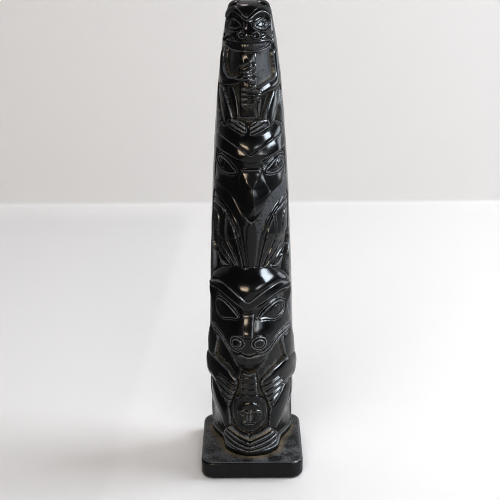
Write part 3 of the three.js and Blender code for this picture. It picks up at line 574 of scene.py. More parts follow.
# %% Small figure
HAT_TOP = 30.8
HAT_BOTTOM = 22.0
HAT_HALF_WIDTHS = [(30.6, 2.1), (28, 2.3), (24, 2.6), (22.9, 3.4), (22.1, 3.5)]
HAT_RINGS = (29.6, 27.8, 26, 24.3)
FACE_TOP = 22.2
CHIN = 14.1
FACE_HALF_WIDTH = 3.9
FACE_THIRD = (FACE_TOP - CHIN) / 3
BROWS = FACE_TOP - FACE_THIRD
NOSE_BASE = CHIN + FACE_THIRD
MOUTH = NOSE_BASE - FACE_THIRD / 3
EYE_WIDTH = 2 * FACE_HALF_WIDTH / 5
EYES = BROWS - 0.7
EYE_HOLLOW_RADII = (1.1, 0.62)
EYE_HOLLOW_DEPTH = -0.35
EYEBALL_RADII = (EYE_WIDTH / 2, 0.4)
EYEBALL_HEIGHT = 0.36
JAW_NARROWING = 0.16


def egg(steps=12):
    """The right half of an egg-shaped face, from the top to the chin."""
    middle, half = (FACE_TOP + CHIN) / 2, (FACE_TOP - CHIN) / 2
    turns = [math.pi * i / steps for i in range(steps + 1)]
    narrowing = [1 - JAW_NARROWING * (1 - math.cos(a)) / 2 for a in turns]
    across = [FACE_HALF_WIDTH * math.sin(a) * n for a, n in zip(turns, narrowing)]
    up = [middle + half * math.cos(a) for a in turns]
    return [(0, FACE_TOP), *list(zip(across, up))[1:-1], (0, CHIN)]


hat = form(None, 0.1, radius=1.2, drop=0.4)
small_hair = form(
    whole((0, 23.2), (4.2, 22.8), (5.3, 20), (5, 16.4), (3.5, 14.2), (0, 12.8)),
    level=-0.35,
    drop=0.3,
)
hair_strand = stroke((4.4, 22.6), (4.9, 20), (4.5, 16.8), (3.2, 14.8))
small_face = form(whole(*egg()), level=0.35, radius=1.6, drop=0.6)
small_brow = stroke((0.45, BROWS - 0.15), (EYE_WIDTH, BROWS + 0.1), (1.9 * EYE_WIDTH, BROWS - 0.25))
SMALL_NOSE_HEIGHTS = [
    (BROWS, 0), (BROWS - 0.6, 0.3), (NOSE_BASE + 0.6, 0.75), (NOSE_BASE, 0.5), (NOSE_BASE - 0.4, 0),
]
SMALL_NOSE_WALL = 0.5
SMALL_NOSE_EDGE = 0.3
small_mouth = stroke((0, MOUTH), (0.7, MOUTH + 0.02), (1.4, MOUTH + 0.08))
STRAND_CUT = (0.25, 0.25)
HAT_RING_CUT = (0.3, 0.25)
SMALL_BROW_SIZE = (0.45, 0.28)
SMALL_LIPS_SIZE = (0.6, 0.2)
SMALL_MOUTH_CUT = (0.24, 0.4)


def carve_small_figure(h, s, z):
    h = carve_and_cut(h, small_hair, [hair_strand], STRAND_CUT, s, z)
    hat_depth = np.minimum(profile(HAT_HALF_WIDTHS, z) - s, np.minimum(HAT_TOP - z, z - HAT_BOTTOM))
    h = raise_form(h, hat_depth, hat, s, z)
    rings = sum(groove(np.abs(z - height), *HAT_RING_CUT) for height in HAT_RINGS)
    h = np.where(hat_depth > 0, h + rings, h)
    depth = inside(small_face.shape, s, z)
    h = raise_form(h, depth, small_face, s, z)
    face = h + ridge(small_brow, SMALL_BROW_SIZE, s, z)
    face = face + dome((EYE_WIDTH, EYES), EYE_HOLLOW_RADII, EYE_HOLLOW_DEPTH, s, z)
    face = face + dome((EYE_WIDTH, EYES), EYEBALL_RADII, EYEBALL_HEIGHT, s, z)
    beside_nose = (EYE_WIDTH / 2 - s) / SMALL_NOSE_WALL + SMALL_NOSE_EDGE
    face = face + profile(SMALL_NOSE_HEIGHTS, z) * smooth(beside_nose)
    face = face + ridge(small_mouth, SMALL_LIPS_SIZE, s, z)
    face = engrave(face, [small_mouth], SMALL_MOUTH_CUT, s, z)
    return np.where(depth > 0, face, h)


print("small face: brows", round(BROWS, 1), "nose", round(NOSE_BASE, 1), "mouth", round(MOUTH, 1))

# %% [markdown]
# ## The raven
#
# The raven in the middle has a broad flat forehead, a beak that falls over its chest as two smooth planes
# with a ridge between them, and folded wings. The wing feathers lie in two rows. The lower row slopes back
# under the upper one, so it looks at the ground and shows lighter. The wings are carved first and the head
# over them, as the head lies in front.

# %% Raven's wings
RAVEN_SHIFT = 0.15
WING_LEVELS = [(72, 0), (68, -0.5), (64, -1), (60.4, -1.9)]
TAIL_HALF_WIDTH = 2.4
TAIL_BOTTOM = 59.5
TAIL_TOP = 74.0
LOWER_FEATHER_CUT = (0.45, 0.45)
UPPER_FEATHER_CUT = (0.45, 0.5)

wing_level = by_height(WING_LEVELS)
tail = form(None, wing_level, lift=0.15)
wing_lower = form(
    outline(
        (1.3, 60.2), (2, 65.5), (2.9, 70.5), (6, 71), (13, 71), (15, 68), (15.3, 64), (13.4, 61.2), (9, 59.9),
    ),
    level=wing_level,
    radius=1.5,
    drop=0.3,
)
lower_feathers = [
    stroke((2.6, 60.2), (3.1, 64), (4.2, 68.4)),
    stroke((4.4, 60.2), (5.6, 63.5), (7.6, 67)),
    stroke((5.6, 60.2), (7.4, 62.8), (10.5, 65.8)),
    stroke((7.6, 60.3), (10, 62.3), (14.6, 64.7)),
]
wing_upper = form(
    outline(
        (2.9, 69.5), (3.4, 71.9), (4.3, 73.8), (6.4, 76), (9.3, 77.8), (13.2, 79.3), (15, 78), (15.2, 73),
        (14.2, 68.8), (11, 67.4), (8, 67.1), (5.5, 67.9), (4, 68.3),
    ),
    level=0.0,
    radius=1.8,
    drop=0.5,
)
upper_feathers = [
    stroke((3.9, 68.4), (4.6, 71), (6.2, 73.8), (8, 75.5), (11, 76.6), (14.8, 77)),
    stroke((7.4, 67.2), (7.4, 70.5), (7, 74)),
    stroke((11, 67.5), (10.6, 71), (11.5, 74), (14.8, 75.4)),
]
wing_band = form(
    outline(
        (0.5, 73.5), (1.8, 74.9), (3, 76.6), (4.5, 78.9), (6, 80.4), (10, 81.7), (13.6, 82.7),
        (13.4, 79.4), (9.3, 77.8), (6.4, 76), (4.3, 73.8), (3.4, 71.9), (2.8, 70), (2.1, 66),
        (1.4, 60.4), (1, 60.4), (1.4, 66), (1.2, 71),
    ),
    level=wing_level,
    lift=0.15,
    radius=0.9,
    drop=0.3,
)


def carve_raven_wings(h, s, z):
    tail_depth = np.minimum(TAIL_HALF_WIDTH - s, np.minimum(z - TAIL_BOTTOM, TAIL_TOP - z))
    h = raise_form(h, tail_depth, tail, s, z)
    h = carve_and_cut(h, wing_lower, lower_feathers, LOWER_FEATHER_CUT, s, z)
    h = carve_and_cut(h, wing_upper, upper_feathers, UPPER_FEATHER_CUT, s, z)
    return carve(h, wing_band, s, z)


print("raven has", 2 * len(lower_feathers + upper_feathers), "feather cuts")

# %% Raven's head
RAVEN_LEVELS = [
    (98.5, -1.7), (97, -0.8), (95, 0.1), (93, 0.75), (91.5, 1.05), (90, 1.15), (88, 0.45), (86, 0.15),
    (83, 0.2), (80, 0.35), (76, 0.25), (73.2, -0.5),
]
RAVEN_FLATNESS = 0.01
RAVEN_REACH = 12.5
TEMPLES_FROM = 6.0
TEMPLES_TO = 12.0
TEMPLES_LOSS = 0.75
RAVEN_BROW_TOP = [(0, 90.5), (2, 92), (4.4, 93.4), (7.2, 94.4), (10.6, 94.9)]


def raven_level(s, z):
    """The raven's head is flatter in front than the blank, and its forehead dies away at the temples."""
    within = np.clip(1 - (s / RAVEN_REACH) ** 2, 0, 1)
    temples = smooth((s - TEMPLES_FROM) / (TEMPLES_TO - TEMPLES_FROM))
    return profile(RAVEN_LEVELS, z) * (1 - TEMPLES_LOSS * temples) + RAVEN_FLATNESS * s**2 * within


raven_head = form(
    whole(
        (0, 98.3), (5, 98.5), (9.5, 98), (11.8, 96), (12.7, 92), (13, 87), (13.3, 84.2), (12.6, 82.9),
        (10, 81.6), (6, 80.3), (4.5, 78.8), (3, 76.5), (1.8, 74.8), (0, 73.1),
    ),
    level=raven_level,
    radius=1.6,
    drop=0.4,
)
raven_brow = form(
    whole(
        *RAVEN_BROW_TOP, (12.6, 94.6), (12.8, 91.9), (8, 91.2), (5.2, 90.4), (2.7, 89.2), (0, 88.5),
    ),
    level=raven_level,
    lift=0.28,
    wall=0.24,
    radius=0.5,
    drop=0.1,
)
raven_forehead = form(
    whole(*RAVEN_BROW_TOP, (12.2, 94.7), (11.6, 96.4), (9.4, 97.8), (5, 98.4), (0, 98.3)),
    level=raven_level,
    lift=0.15,
    radius=2,
    drop=0.4,
)
raven_eye = SimpleNamespace(
    socket=form(
        outline(
            (2.8, 88.3), (5.2, 90.1), (8, 90.9), (11.6, 91.4), (12.6, 89.4), (12, 87), (10.2, 85.8),
            (7, 85.6), (4.2, 86.4),
        ),
        level=-0.3,
        wall=2.2,
    ),
    almond=form(
        outline(
            (4, 85.9), (5.4, 87.2), (7.1, 88.3), (9.3, 88.9), (11.4, 88.5), (12.2, 87.4), (10.8, 86.2),
            (8.2, 85.5), (5.6, 85.4),
        ),
        level=0.05,
        radius=1.6,
        drop=0.45,
    ),
    crease=stroke((3.2, 86.9), (5, 88.2), (7, 89.3), (9.4, 89.8), (12, 89.3)),
    iris_centre=(9.2, 87.3),
    iris_radius=1.15,
)
BEAK_HEIGHTS = [(87.1, 0), (86.6, 0.9), (84, 1.4), (80, 1.9), (77.2, 1.95), (75.2, 1.2), (73.4, 0.2), (73, 0)]
BEAK_FLATS = [(87, 2.1), (84, 1.2), (81.7, 0.08), (73, 0.08)]  # the half-width of the flat along the top
BEAK_HALF_WIDTHS = [(87.2, 2.5), (84, 3.4), (80, 5), (77.5, 3.8), (75, 2.2), (73, 1)]
BEAK_LEAN = [(87, 0), (82, 0.2), (77, 0.6), (73, 0.6)]  # how far the ridge strays to the right


def carve_raven_head(h, side, z):
    s = np.abs(side)
    head = inside(raven_head.shape, s, z)
    h = raise_form(h, head, raven_head, s, z)
    face = eye(h, raven_eye, s, z)
    face = carve(face, raven_brow, s, z)
    face = carve(face, raven_forehead, s, z)
    flat, reach = profile(BEAK_FLATS, z), profile(BEAK_HALF_WIDTHS, z)
    from_ridge = np.abs(side - profile(BEAK_LEAN, z))
    face = face + profile(BEAK_HEIGHTS, z) * np.clip((reach - from_ridge) / (reach - flat), 0, 1)
    return np.where(head > 0, face, h)


print("beak stands", max(height for _, height in BEAK_HEIGHTS), "mm out of the face")

# %% [markdown]
# ## The cub
#
# The cub at the top holds a staff in front of it with both hands, one above the other. Its legs run down
# beside the staff, and its head is the column's rounded end. The arms differ from side to side, so they are
# drawn whole. The fingers wrap round the staff, and a row of raised lines gives them: separate small meshes
# would need joining to the hands.

# %% Cub's body
CUB_SHIFT = -0.6
STAFF_HALF_WIDTH = 2.5
STAFF_BOTTOM = 99.4
STAFF_TOP = 116.0

staff = form(None, -0.3, radius=0.8, drop=0.25)
arm = form(None, 0.5, radius=2, drop=0.95)
left_arm = outline(
    (-9.8, 115.6), (-8.8, 115.4), (-8.7, 113.2), (-7.9, 111), (-6.3, 109.6), (-4.2, 109.4), (-2, 110.2),
    (-1, 111.4), (0.4, 111), (0.8, 109.2), (-0.6, 108.6), (-2.4, 107.8), (-4.8, 107.2), (-8.4, 107),
    (-10.4, 108.4), (-11, 111), (-10.8, 114),
)
right_arm = outline(
    (9.6, 115.6), (8.3, 115.2), (8.5, 113), (8.9, 111.2), (8.9, 109.5), (8.2, 108.8), (5.9, 108.3),
    (3.6, 107.5), (2, 106.9), (1, 106.6), (0.8, 105), (1.6, 103.4), (3.4, 104.5), (5.9, 105.4),
    (9.4, 106), (11.4, 106.6), (12.2, 108.4), (11.8, 112),
)
FINGER_SIZE = (0.55, 0.65)
CUB_TOE_CUT = (0.3, 0.45)
STAFF_BAND_CUT = (0.26, 0.35)


def fingers(count, root, root_step, tip, tip_step):
    """A hand's fingers, from the lowest up, as lines from their roots to their tips."""
    return [stroke((root[0], root[1] + root_step * i), (tip[0], tip[1] + tip_step * i)) for i in range(count)]


upper_hand = fingers(5, root=(-2.6, 109.4), root_step=0.5, tip=(0.6, 108.9), tip_step=1.08)
lower_hand = fingers(4, root=(2.8, 103.7), root_step=0.75, tip=(-1.1, 102.9), tip_step=1.25)
staff_bands = [stroke((0.9, z), (2.3, z)) for z in (113, 110.9, 109.6, 107.7)]
cub_haunch = form(
    outline(
        (7.4, 97), (9.5, 98.6), (12.2, 102), (12.8, 106), (11.4, 107), (10.2, 104.5), (8.8, 101.5),
        (6.9, 98.6),
    ),
    level=-0.45,
    radius=0.9,
    drop=0.3,
)
cub_thigh = form(
    outline(
        (6.8, 106.8), (5.2, 103.4), (4.1, 100.8), (3.8, 99), (2.7, 99.2), (2.8, 102), (3.6, 105), (4.8, 107),
    ),
    level=-0.5,
    radius=0.8,
    drop=0.2,
)
cub_shin = form(
    outline(
        (11.4, 106.4), (10, 102.8), (8.2, 100), (6.6, 97.2), (5, 96.7), (4.1, 98.2), (4.4, 100),
        (5.3, 102), (6.9, 104.7), (9, 106.8),
    ),
    level=0.2,
    radius=1.4,
    drop=0.5,
)
cub_foot = form(
    outline((0.7, 95.4), (4.6, 95.7), (6, 97), (5.4, 99), (2.6, 98.9), (0.9, 98.2)),
    level=0.45,
    drop=0.4,
)
cub_toes = [
    stroke((0.3, 97.3), (2.4, 98.7)),
    stroke((0.3, 96.3), (2, 97.3), (4, 98.4)),
    stroke((0.5, 95.5), (2.6, 96.4), (5.2, 97.6)),
]


def carve_cub_body(h, side, z):
    s = np.abs(side)
    for part in (cub_haunch, cub_thigh, cub_shin):
        h = carve(h, part, s, z)
    h = carve_and_cut(h, cub_foot, cub_toes, CUB_TOE_CUT, s, z)
    staff_depth = np.minimum(STAFF_HALF_WIDTH - s, np.minimum(z - STAFF_BOTTOM, STAFF_TOP - z))
    h = raise_form(h, staff_depth, staff, s, z)
    for shape in (left_arm, right_arm):
        h = raise_form(h, inside(shape, side, z), arm, s, z)
    h = engrave(h, staff_bands, STAFF_BAND_CUT, side, z)
    for hand in (upper_hand, lower_hand):
        h = h + np.maximum.reduce([ridge(finger, FINGER_SIZE, side, z) for finger in hand])
    return h


print("cub's staff is", STAFF_TOP - STAFF_BOTTOM, "mm long")

# %% Cub's head
CUB_LEVELS = [
    (127, 0.2), (125.6, 0.2), (124, 0.3), (122.5, 0.15), (120.5, 0.1), (118.5, 0.3), (116.5, 0.2),
    (115.2, -0.3),
]
cub_level = by_height(CUB_LEVELS)
cub_head = form(
    whole(
        (0, 130), (9.2, 130), (9, 124), (8.6, 121), (8.5, 119), (7.8, 117.4), (6.6, 116.4), (5, 115.6),
        (3, 115.35), (0, 115.25),
    ),
    level=cub_level,
    radius=1.4,
    drop=0.5,
)
cub_brow = form(
    whole(
        (0, 123.6), (1.2, 124.4), (2.2, 125.1), (3.7, 125.75), (5, 125.6), (6.3, 124.9), (7.4, 123.5),
        (6.8, 122.9), (5.4, 124), (3.7, 124.5), (2.2, 124), (1, 123.1), (0, 122.6),
    ),
    level=cub_level,
    lift=0.4,
    wall=0.2,
    radius=0.45,
    drop=0.12,
)
cub_eye = SimpleNamespace(
    socket=form(
        outline(
            (1, 122.5), (2.4, 123.7), (4, 124.2), (5.6, 123.9), (7, 122.9), (7.7, 121.4), (6.4, 120.5),
            (4.6, 120.3), (2.4, 120.7),
        ),
        level=-0.35,
        wall=1.4,
    ),
    almond=form(
        outline(
            (1.6, 121.8), (2.6, 122.7), (4.2, 123.2), (5.8, 122.8), (7, 121.8), (6.1, 121.1), (4.6, 120.8),
            (2.8, 121.1),
        ),
        level=-0.05,
        radius=1.4,
        drop=0.45,
    ),
    crease=stroke((1.6, 122.7), (2.6, 123.4), (4.2, 123.8), (5.9, 123.4), (7.2, 122.4)),
    iris_centre=(5.1, 122.1),
    iris_radius=0.85,
)
CUB_SNOUT_SHIFT = 0.5  # the snout was cut a little off the head's middle
CUB_SNOUT_HEIGHTS = [
    (124, 0), (122.6, 0.3), (121.4, 0.8), (120.5, 1.2), (119.4, 1.3), (118.6, 0.7), (118, 0),
]
CUB_SNOUT_HALF_WIDTHS = [(124, 0.6), (121.4, 1.3), (120.4, 2.3), (119, 2.5), (118, 2.3)]
CUB_SNOUT_SIDE = 1.5
CUB_NOSTRIL = (1.35, 119.5)
CUB_NOSTRIL_RADII = (0.6, 0.6)
CUB_NOSTRIL_DEPTH = -0.55
CUB_NOSTRIL_RIM = 0.72
CUB_RIM_SIZE = (0.3, 0.22)
CUB_FLEWS_SIZE = (0.45, 0.35)
CUB_LIP_SIZE = (0.42, 0.28)
cub_flews = stroke((3.7, 118.8), (4.9, 119.2), (6.5, 118.7), (7.3, 117.8))
cub_upper_lip = stroke((0, 118), (2, 118), (4, 118.1), (5.6, 118.1), (6.6, 117.5))
cub_lower_lip = stroke((0, 115.5), (1.8, 115.6), (3.9, 115.8), (5.8, 116.5), (7.2, 117.7), (7.9, 119.2))
cub_mouth = form(
    whole((0, 117.8), (4, 117.9), (6.2, 117.8), (6.6, 117.2), (5.4, 116.5), (3, 116), (0, 115.9)),
    level=cub_level,
    lift=-0.35,
)
TOOTH_WIDTH = 1.05
TOOTH_HEIGHT = 0.04
GUM = 0.25  # the teeth begin this far inside the mouth
GUM_WALL = 0.3


def carve_cub_head(h, side, z):
    s = np.abs(side)
    head = inside(cub_head.shape, s, z)
    h = raise_form(h, head, cub_head, s, z)
    face = eye(h, cub_eye, s, z)
    face = carve(face, cub_brow, s, z)
    across = np.abs(side - CUB_SNOUT_SHIFT)
    beside_snout = profile(CUB_SNOUT_HALF_WIDTHS, z) - across
    face = face + profile(CUB_SNOUT_HEIGHTS, z) * smooth(beside_snout / CUB_SNOUT_SIDE + 0.5)
    face = face + dome(CUB_NOSTRIL, CUB_NOSTRIL_RADII, CUB_NOSTRIL_DEPTH, across, z)
    face = face + roll(from_ring(CUB_NOSTRIL, CUB_NOSTRIL_RIM, across, z), *CUB_RIM_SIZE)
    face = face + ridge(cub_flews, CUB_FLEWS_SIZE, s, z)
    mouth = inside(cub_mouth.shape, s, z)
    face = raise_form(face, mouth, cub_mouth, s, z)
    tooth = TOOTH_HEIGHT * np.sqrt(np.abs(np.sin(math.pi * s / TOOTH_WIDTH)))
    face = face + tooth * smooth((mouth - GUM) / GUM_WALL)
    for lip in (cub_upper_lip, cub_lower_lip):
        face = face + ridge(lip, CUB_LIP_SIZE, s, z)
    return np.where(head > 0, face, h)


print("cub's mouth has room for", 2 * int(cub_mouth.shape.path[:, 0].max() / TOOTH_WIDTH), "teeth")

# %% [markdown]
# ## The relief over the blank
#
# The three figures are carved into one sunk ground. The cub is carved over the raven, because its feet stand
# on the raven's head, and the bear is carved last. The foot is then drawn in at its sides, so that it stands
# on the plinth like the bow of a boat. A slow unevenness of a few hundredths of a millimetre keeps the
# polished planes from looking machined: reflections bend on the real ones. A Displace modifier with a texture
# could do that too, but three waves are enough.

# %% Relief
CARVED_EDGE = 1.32  # where the carving stops at the plain back, in half-widths along the face
CARVED_TOP = 119.5  # the plain back ends behind the cub's head
GROUND = -1.3
GROUND_WALL = 0.5
FADE_HEIGHT = 1.2  # the relief dies away on the crown
WAIST_TOP = 20.0  # below this the plain sides draw in above the foot
WAIST_BOTTOM = 12.0
WAIST = 1.0
WAIST_REACH = 25.0
WAIST_FADE = 4.0
FOOT_DRAW = 2.0  # how far the foot draws in at its sides
FOOT_DRAW_TOP = 20.0
FOOT_DRAW_BOTTOM = 7.0
FOOT_DRAW_ROUND = [(22, 0), (18, 0.65), (15, 1), (12, 0.75), (9, 0.2), (5, 0)]
BEAR_TOP = 64.0
RAVEN_BOTTOM = 55.0
RAVEN_TOP = 102.0
CUB_BOTTOM = 92.0
UNEVENNESS = 0.02
WAVES = [(0.83, 0.31, 0), (0.47, -0.59, 2), (1.31, 0.97, 4)]  # turn across, turn up and start, in radians


def relief(s, z):
    waist = smooth((WAIST_TOP - z) / (WAIST_TOP - WAIST_BOTTOM))
    plain = -WAIST * waist * smooth((WAIST_REACH - np.abs(s)) / WAIST_FADE)
    carved = np.minimum(CARVED_EDGE * half_width(z) - np.abs(s), CARVED_TOP - z)
    h = plain + (GROUND - plain) * smooth(carved / GROUND_WALL + 0.5)

    rows = (z[:, 0] > RAVEN_BOTTOM) & (z[:, 0] < RAVEN_TOP)
    side = s[rows] - RAVEN_SHIFT
    h[rows] = carve_raven_wings(h[rows], np.abs(side), z[rows])
    h[rows] = carve_raven_head(h[rows], side, z[rows])

    rows = z[:, 0] > CUB_BOTTOM
    side = s[rows] - CUB_SHIFT
    h[rows] = carve_cub_body(h[rows], side, z[rows])
    h[rows] = carve_cub_head(h[rows], side, z[rows])

    rows = z[:, 0] < BEAR_TOP
    side = np.abs(s[rows] - BEAR_SHIFT)
    h[rows] = carve_bear_body(h[rows], side, z[rows])
    h[rows] = carve_bear_face(h[rows], side, z[rows])

    low = smooth((FOOT_DRAW_TOP - z) / (FOOT_DRAW_TOP - FOOT_DRAW_BOTTOM))
    h = h - FOOT_DRAW * (low * profile(FOOT_DRAW_ROUND, np.abs(s)))
    h = h + UNEVENNESS * sum(np.sin(across * s + up * z + start) for across, up, start in WAVES)
    return h * smooth((TOTAL_HEIGHT - z) / FADE_HEIGHT)


print("carving stands on a ground", -GROUND, "mm below the blank")

# %% [markdown]
# ## The carved column as a mesh
#
# The relief is sampled on a fine grid, closer together across the face than at the back, and every point of
# the blank moves outwards by it. Two small ears are pushed out of the crown's corners in the same way. The
# points then become a closed skin of quads, with a fan of triangles at each end.

# %% Column's grid
COLUMNS = 440
ROWS = 1180
CAP_ROWS = 70
EVEN_SHARE = 0.6  # the rest of the spacing spreads the columns out towards the back
BACK_POWER = 5
RELIEF_ANGLE = 0.8 * math.pi
NUDGE = 1e-3
EAR_CENTRE = (3.7, 1.2, 126.4)
EAR_RADIUS = 1.9
EAR_HEIGHT = 0.45


def ear_lift(points):
    x, y, z = np.abs(points[..., 0]), points[..., 1], points[..., 2]
    away = np.hypot(np.hypot(x - EAR_CENTRE[0], y - EAR_CENTRE[1]), z - EAR_CENTRE[2]) / EAR_RADIUS
    return EAR_HEIGHT * np.clip(1 - away * away, 0, 1)


def outward(angle, z):
    across = blank_points(angle + NUDGE, z) - blank_points(angle - NUDGE, z)
    up = blank_points(angle, z + NUDGE) - blank_points(angle, z - NUDGE)
    normal = np.cross(across, up)
    return normal / (np.linalg.norm(normal, axis=-1, keepdims=True) + TINY)


def pole_grid():
    t = 2 * (np.arange(COLUMNS) + 0.5) / COLUMNS - 1
    angle = math.pi * (EVEN_SHARE * t + (1 - EVEN_SHARE) * t**BACK_POWER)
    straight = np.linspace(FOOT_HEIGHT, CAP_FROM, ROWS - CAP_ROWS + 1)
    turn = np.arange(1, CAP_ROWS) / CAP_ROWS * math.pi / 2
    heights = np.concatenate([straight, CAP_FROM + (TOTAL_HEIGHT - CAP_FROM) * np.sin(turn)])
    z, angles = np.meshgrid(heights, angle, indexing="ij")
    s = face_length(angle)[None, :] * half_width(z)
    h = np.where(np.abs(angles) < RELIEF_ANGLE, relief(s, z), 0)
    points = blank_points(angles, z)
    away = outward(angles, z)
    away[0, :, 2] = 0
    return points + away * (h + ear_lift(points))[..., None], h, s, z


print("grid has", ROWS, "rows of", COLUMNS, "points")


# %% Column's skin
def grid_faces(rows, columns):
    """Quads round a closed grid, and triangles to one point at the foot and one at the top."""
    row, column = np.meshgrid(np.arange(rows - 1), np.arange(columns), indexing="ij")
    below, after = row * columns, (column + 1) % columns
    above = below + columns
    quads = np.stack([below + column, below + after, above + after, above + column], axis=-1).reshape(-1, 4)
    ring, after = np.arange(columns), (np.arange(columns) + 1) % columns
    foot, crown = np.full(columns, rows * columns), np.full(columns, rows * columns + 1)
    top = (rows - 1) * columns
    fans = np.concatenate([
        np.stack([foot, after, ring], axis=-1),
        np.stack([top + ring, top + after, crown], axis=-1),
    ])
    return quads, fans


def mesh_from(name, points, quads, fans):
    mesh = bpy.data.meshes.new(name)
    mesh.vertices.add(len(points))
    mesh.vertices.foreach_set("co", points.astype(np.float32).ravel())
    corners = np.concatenate([quads.ravel(), fans.ravel()])
    sizes = np.concatenate([np.full(len(quads), 4), np.full(len(fans), 3)])
    mesh.loops.add(len(corners))
    mesh.loops.foreach_set("vertex_index", corners.astype(np.int32))
    mesh.polygons.add(len(sizes))
    mesh.polygons.foreach_set("loop_start", (np.cumsum(sizes) - sizes).astype(np.int32))
    mesh.update(calc_edges=True)
    mesh.validate()
    return mesh


print("skin has", sum(len(faces) for faces in grid_faces(ROWS, COLUMNS)), "faces before it is thinned")

# %% [markdown]
# ## Where dust, wear, dullness and painted light lie
#
# Three attributes go with the mesh, and its finish reads them. The first says how deep a place lies below its
# surroundings, where dust gathers, and marks a tan line along the bear's instep. Its strength by height also
# paints the brown reflection under the bear's chin in tan: a painted reflection. The second marks the sharp
# edges, which are painted light grey: partly rubbed wear, partly painted edge highlights. The third marks the
# deep hollows and the cub's mouth, which the polishing wheel missed, and is stronger on the right side, where
# the window falls: painted light. It also marks the band along the raven's right wing alone, which is painted
# light as well. All three could be painted by hand. Marks that are worked out from the relief and a blurred
# copy of it are quicker, and follow every change of the carving.

# %% Dust, wear, dullness and painted light
NARROW_ROWS = 7
NARROW_DEPTH = 0.3
WIDE_ROWS = 21
WIDE_DEPTH = 0.9
INSTEP_HALF_WIDTH = 0.4
# The peak at 33 mm paints the brown reflection under the bear's chin in tan: a painted reflection, not dust.
DUST_AND_CHIN_REFLECTION_BY_HEIGHT = [
    (127, 0.07), (118, 0.05), (114, 0.13), (108, 0.32), (101, 0.36), (98, 0.1), (91, 0.02), (70, 0.03),
    (60, 0.05), (45, 0.04), (38, 0.25), (33, 0.6), (29, 0.3), (20, 0.22), (14, 0.18), (5.3, 0.15),
]
# The sharp edges are painted light grey: partly rubbed wear, partly painted highlights.
EDGE_ROWS = 5
EDGE_START = 0.04
EDGE_SPAN = 0.07
WEAR_AND_HIGHLIGHT_BY_HEIGHT = [
    (127, 0.6), (112, 0.8), (90, 1), (65, 1), (60, 1.4), (38, 1.4), (30, 0.9), (14, 1), (10, 1.4),
]
UNPOLISHED_BELOW = -0.55
UNPOLISHED_SPAN = 0.5
DULLNESS_AND_SHEEN_BY_HEIGHT = [(127, 0.2), (118, 0.4), (114.5, 1.5), (105, 1.2), (100, 0.3), (90, 0.05), (5, 0.05)]
SHEEN_SIDE_WIDTH = 4.0  # the grey is weaker on the left, away from the window, and changes over to the right across this width: painted light
LEFT_SHEEN_SHARE = 0.25
MATT_MOUTH = 0.45
# Only the raven's right wing band is made grey and dull: painted light from the window.
RIGHT_BAND_SHEEN = 1.6


def blurred(field, rows):
    """The mean over a square of that many rows and columns, twice for a soft edge."""
    for axis in (0, 1, 0, 1):
        half = rows // 2
        pad = [(half + 1, half) if a == axis else (0, 0) for a in (0, 1)]
        total = np.cumsum(np.pad(field, pad, mode="edge"), axis=axis)
        ahead = np.take(total, range(2 * half + 1, total.shape[axis]), axis=axis)
        behind = np.take(total, range(0, total.shape[axis] - 2 * half - 1), axis=axis)
        field = (ahead - behind) / (2 * half + 1)
    return field


def column_marks(h, s, z):
    narrow = np.clip((blurred(h, NARROW_ROWS) - h) / NARROW_DEPTH, 0, 1)
    wide = np.clip((blurred(h, WIDE_ROWS) - h) / WIDE_DEPTH, 0, 1)
    instep = smooth(1 + inside(bear_instep, np.abs(s - BEAR_SHIFT), z) / INSTEP_HALF_WIDTH)
    # Dust in the hollows and the tan instep line, with a painted reflection under the bear's chin.
    recess = np.maximum(np.maximum(narrow, wide) * profile(DUST_AND_CHIN_REFLECTION_BY_HEIGHT, z), instep)
    # Painted edge highlights on every convex edge, partly rubbed wear.
    worn = smooth((h - blurred(h, EDGE_ROWS) - EDGE_START) / EDGE_SPAN) * profile(WEAR_AND_HIGHLIGHT_BY_HEIGHT, z)
    hollows = smooth((UNPOLISHED_BELOW - h) / UNPOLISHED_SPAN) * profile(DULLNESS_AND_SHEEN_BY_HEIGHT, z)
    mouth = MATT_MOUTH * smooth(inside(cub_mouth.shape, np.abs(s - CUB_SHIFT), z) / WALL)
    # The grey is weaker on the left and full on the right, where the window falls, and the right wing band
    # alone is grey: painted light.
    side = LEFT_SHEEN_SHARE + (1 - LEFT_SHEEN_SHARE) * smooth(s / SHEEN_SIDE_WIDTH + 0.5)
    sheen_band = RIGHT_BAND_SHEEN * smooth(inside(wing_band.shape, s - RAVEN_SHIFT, z) / WALL)
    unpolished = np.maximum(np.maximum(hollows, mouth) * side, sheen_band)
    return {"recess": recess, "worn": worn, "unpolished": unpolished}


# The strongest knot is the painted reflection under the bear's chin.
print("dust is thickest", max(DUST_AND_CHIN_REFLECTION_BY_HEIGHT, key=lambda knot: knot[1])[0], "mm up")

# %% [markdown]
# ## The finished column
#
# The grid is far denser than a plain stretch needs, so a Decimate modifier takes it down to under 200,000
# triangles and leaves the most where the edges are. A coarser grid would be as light, but it would blunt
# every edge alike. The modifier's result is kept as a plain mesh, and the attributes go with it.

# %% Carved column
COLUMN_TRIANGLES = 196000


def thinned(mesh, ratio):
    dense = bpy.data.objects.new("dense_column", mesh)
    scene.collection.objects.link(dense)
    dense.modifiers.new("thin_out", "DECIMATE").ratio = ratio
    evaluated = dense.evaluated_get(bpy.context.evaluated_depsgraph_get())
    final = bpy.data.meshes.new_from_object(evaluated)
    bpy.data.objects.remove(dense)
    bpy.data.meshes.remove(mesh)
    return final


